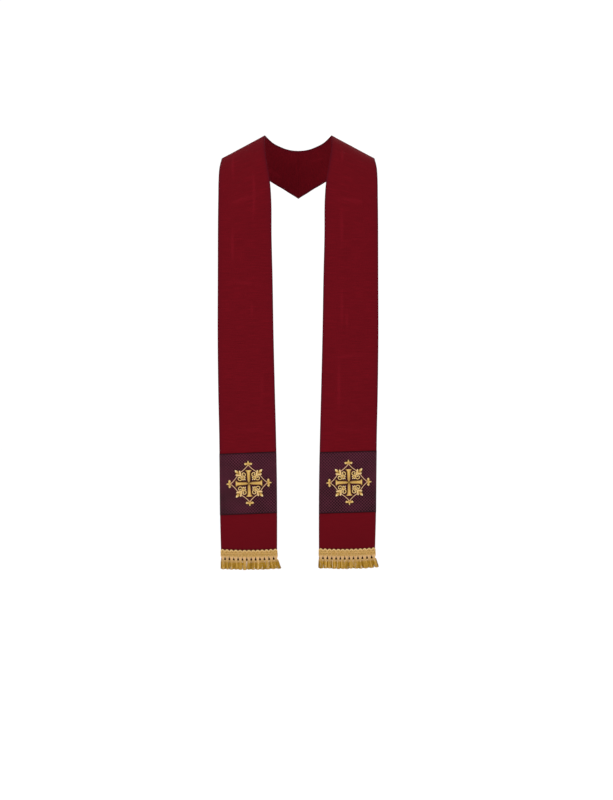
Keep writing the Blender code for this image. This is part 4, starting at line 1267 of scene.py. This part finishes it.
def tassel_threads(side, seed):
    """Every thread of one fringe as one array: tassel, thread, level, corner, and a tone for each.

    A thread has an even place across its tassel, and strays and curls more the lower it hangs."""
    draw = np.random.default_rng(seed)
    z, half_width, half_depth, above, radius = np.array(TASSEL_LEVELS).T
    shape = (TASSELS, THREADS, 1)
    across = np.linspace(-1.0, 1.0, THREADS)[None, :, None] + draw.normal(0.0, UNEVEN, shape)
    deep = draw.uniform(-1.0, 1.0, shape) * np.sqrt(1.0 - SIDES_FLAT * np.clip(across, -1, 1) ** 2)
    loose = np.clip((TIE_Z / MM - z) / (TIE_Z / MM - TIP_Z / MM), 0.0, 1.0)
    stray = draw.normal(0.0, STRAY, shape) * loose
    start = draw.uniform(0, 2 * math.pi, shape)
    curl = CURL * loose * np.sin(start + draw.uniform(*CURL_TURNS, shape) * loose * 2)
    swing = draw.normal(0.0, SWING, (TASSELS, 1, 1)) * loose
    cut = draw.normal(0.0, CUT_OF_THREAD, shape) + draw.normal(0.0, CUT_OF_TASSEL, (TASSELS, 1, 1))
    level = z + (cut + CUT_ROUND * across**2) * (loose == 1.0)
    spread = np.where(loose > 0, np.array(SPREADS[side])[:, None, None], 1.0)
    centre = (np.arange(TASSELS) + 0.5)[:, None, None] * PITCH
    x = centre + np.clip(across, -OUTERMOST, OUTERMOST) * half_width * spread + stray + curl + swing
    height = above + deep * half_depth
    angle = 2 * math.pi * (np.arange(THREAD_AROUND) + 0.5) / THREAD_AROUND
    flat = points_from(
        x[..., None] + radius[:, None] * np.cos(angle),
        level[..., None],
        height[..., None] + radius[:, None] * np.sin(angle),
    )
    # Painted highlight on the threads in front and painted shade at the sides, over a random tone for each
    tones = TONE_MIDDLE + TONE_OF_THREAD * draw.normal(size=shape) + LIGHT_IN_FRONT * deep
    tones = np.clip(tones - SHADE_AT_SIDES * np.abs(across) ** 3, 0.0, 1.0)
    return flat, np.broadcast_to(tones[..., None], flat.shape[:-1])


for side, seed in (("left", 5), ("right", 11)):
    flat, tones = tassel_threads(side, seed)
    threads = [(on_hem(flat, side), flat[..., :2] * MM)]
    tassels = add_piece(side, "tassels", threads, tassel_gold)
    add_number(tassels.data, "tone", tones)
    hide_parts(f"fringe_{side}")

# %% [markdown]
# ## Sewing
#
# Small stitches show that the pieces are sewn on: one row inside each long edge of the bands, and tiny slip
# stitches behind both edges of the strip. The thread is matt polyester dyed to match, so that it hardly
# shows. A stitch is a short round bar that sinks into the cloth at both ends, and each row is one array.

# %% Sewing
# The slip stitches, then the rows on the bands, where a stitch covers a share of its pitch
SLIP_LENGTH, SLIP_PITCH, SLIP_RADIUS, SLIP_FROM_EDGE = 0.0022, 0.008, 0.00025, 0.0035
ROW_PITCH, ROW_COVER, ROW_RADIUS, ROW_FROM_EDGE = 0.0036, 0.72, 0.00028, 0.0026
SLIP_FROM_END = 0.006
ROW_ENDS = (0.002, 0.140)
STITCH_STEPS = 6
# As shares of its radius: how high a stitch arches, how far its ends sink in, and how thin they are
STITCH_ARCH, STITCH_SINK, STITCH_TIP = 0.9, 0.3, 0.15
THREAD_BURGUNDY, THREAD_PLUM = "#5a0f1a", "#3a1a25"

matt = {"Roughness": 0.6, "Specular IOR Level": 0.1}
burgundy_thread, _, _ = new_finish("burgundy_thread", {"Base Color": linear(THREAD_BURGUNDY), **matt})
plum_thread, _, _ = new_finish("plum_thread", {"Base Color": linear(THREAD_PLUM), **matt})


def stitches(starts, ends, place, radius):
    """Bars from starts to ends on a surface, each arched up and pointed at both ends.

    starts and ends hold a way along and a way across, and place turns them and a height into points."""
    share = np.linspace(0.0, 1.0, STITCH_STEPS)[None, :, None]
    arch = np.sin(math.pi * share)
    angle = 2 * math.pi * (np.arange(STITCH_STEPS) + 0.5) / STITCH_STEPS
    run = ends - starts
    beside = points_from(-run[:, 1], run[:, 0]) / np.linalg.norm(run, axis=1, keepdims=True)
    thick = radius * np.clip(1.5 * arch, STITCH_TIP, 1.0)
    centre = starts[:, None, None, :] + run[:, None, None, :] * share[..., None]
    spots = centre + beside[:, None, None, :] * (thick * np.cos(angle))[..., None]
    height = radius * (STITCH_ARCH * arch - STITCH_SINK) + thick * np.sin(angle)
    return place(spots[..., 0], spots[..., 1], np.broadcast_to(height, spots.shape[:-1])), spots


def back_place(side, along, across, height):
    """Place on the back of one half, where a greater height is further in."""
    return half_place(side, along, across, -CLOTH - height)


print("a slip stitch every", 1000 * SLIP_PITCH, "mm")

# %% Rows of stitches
row_start, row_end = ROW_ENDS
row_count = int((row_end - row_start) / ROW_PITCH)
row_step = (row_end - row_start) / row_count
row_spots = row_start + (np.arange(row_count) + 0.5 * (1 - ROW_COVER)) * row_step
slip_spots = np.arange(SLIP_FROM_END, HALF_LENGTH - SLIP_FROM_END, SLIP_PITCH)
for side in ("left", "right"):
    rows = []
    for along in (ROW_FROM_EDGE, BAND_HEIGHT - ROW_FROM_EDGE):
        starts = points_from(along, row_spots)
        ends = starts + (0.0, ROW_COVER * row_step)
        rows.append(stitches(starts, ends, partial(band_place, side), ROW_RADIUS))
    add_piece(side, "band_stitches", rows, plum_thread)
    rows = []
    for across in (SLIP_FROM_EDGE, width_of_half(slip_spots) - SLIP_FROM_EDGE):
        starts = points_from(slip_spots, across)
        rows.append(stitches(starts, starts + (SLIP_LENGTH, 0.0), partial(back_place, side), SLIP_RADIUS))
    add_piece(side, "slip_stitches", rows, burgundy_thread)

# %% [markdown]
# ## What the pieces are
#
# The halves and the bands are sheets of cloth.

# %% The halves and the bands
for side in ("left", "right"):
    half, band = pieces[side, "half"], pieces[side, "band"]
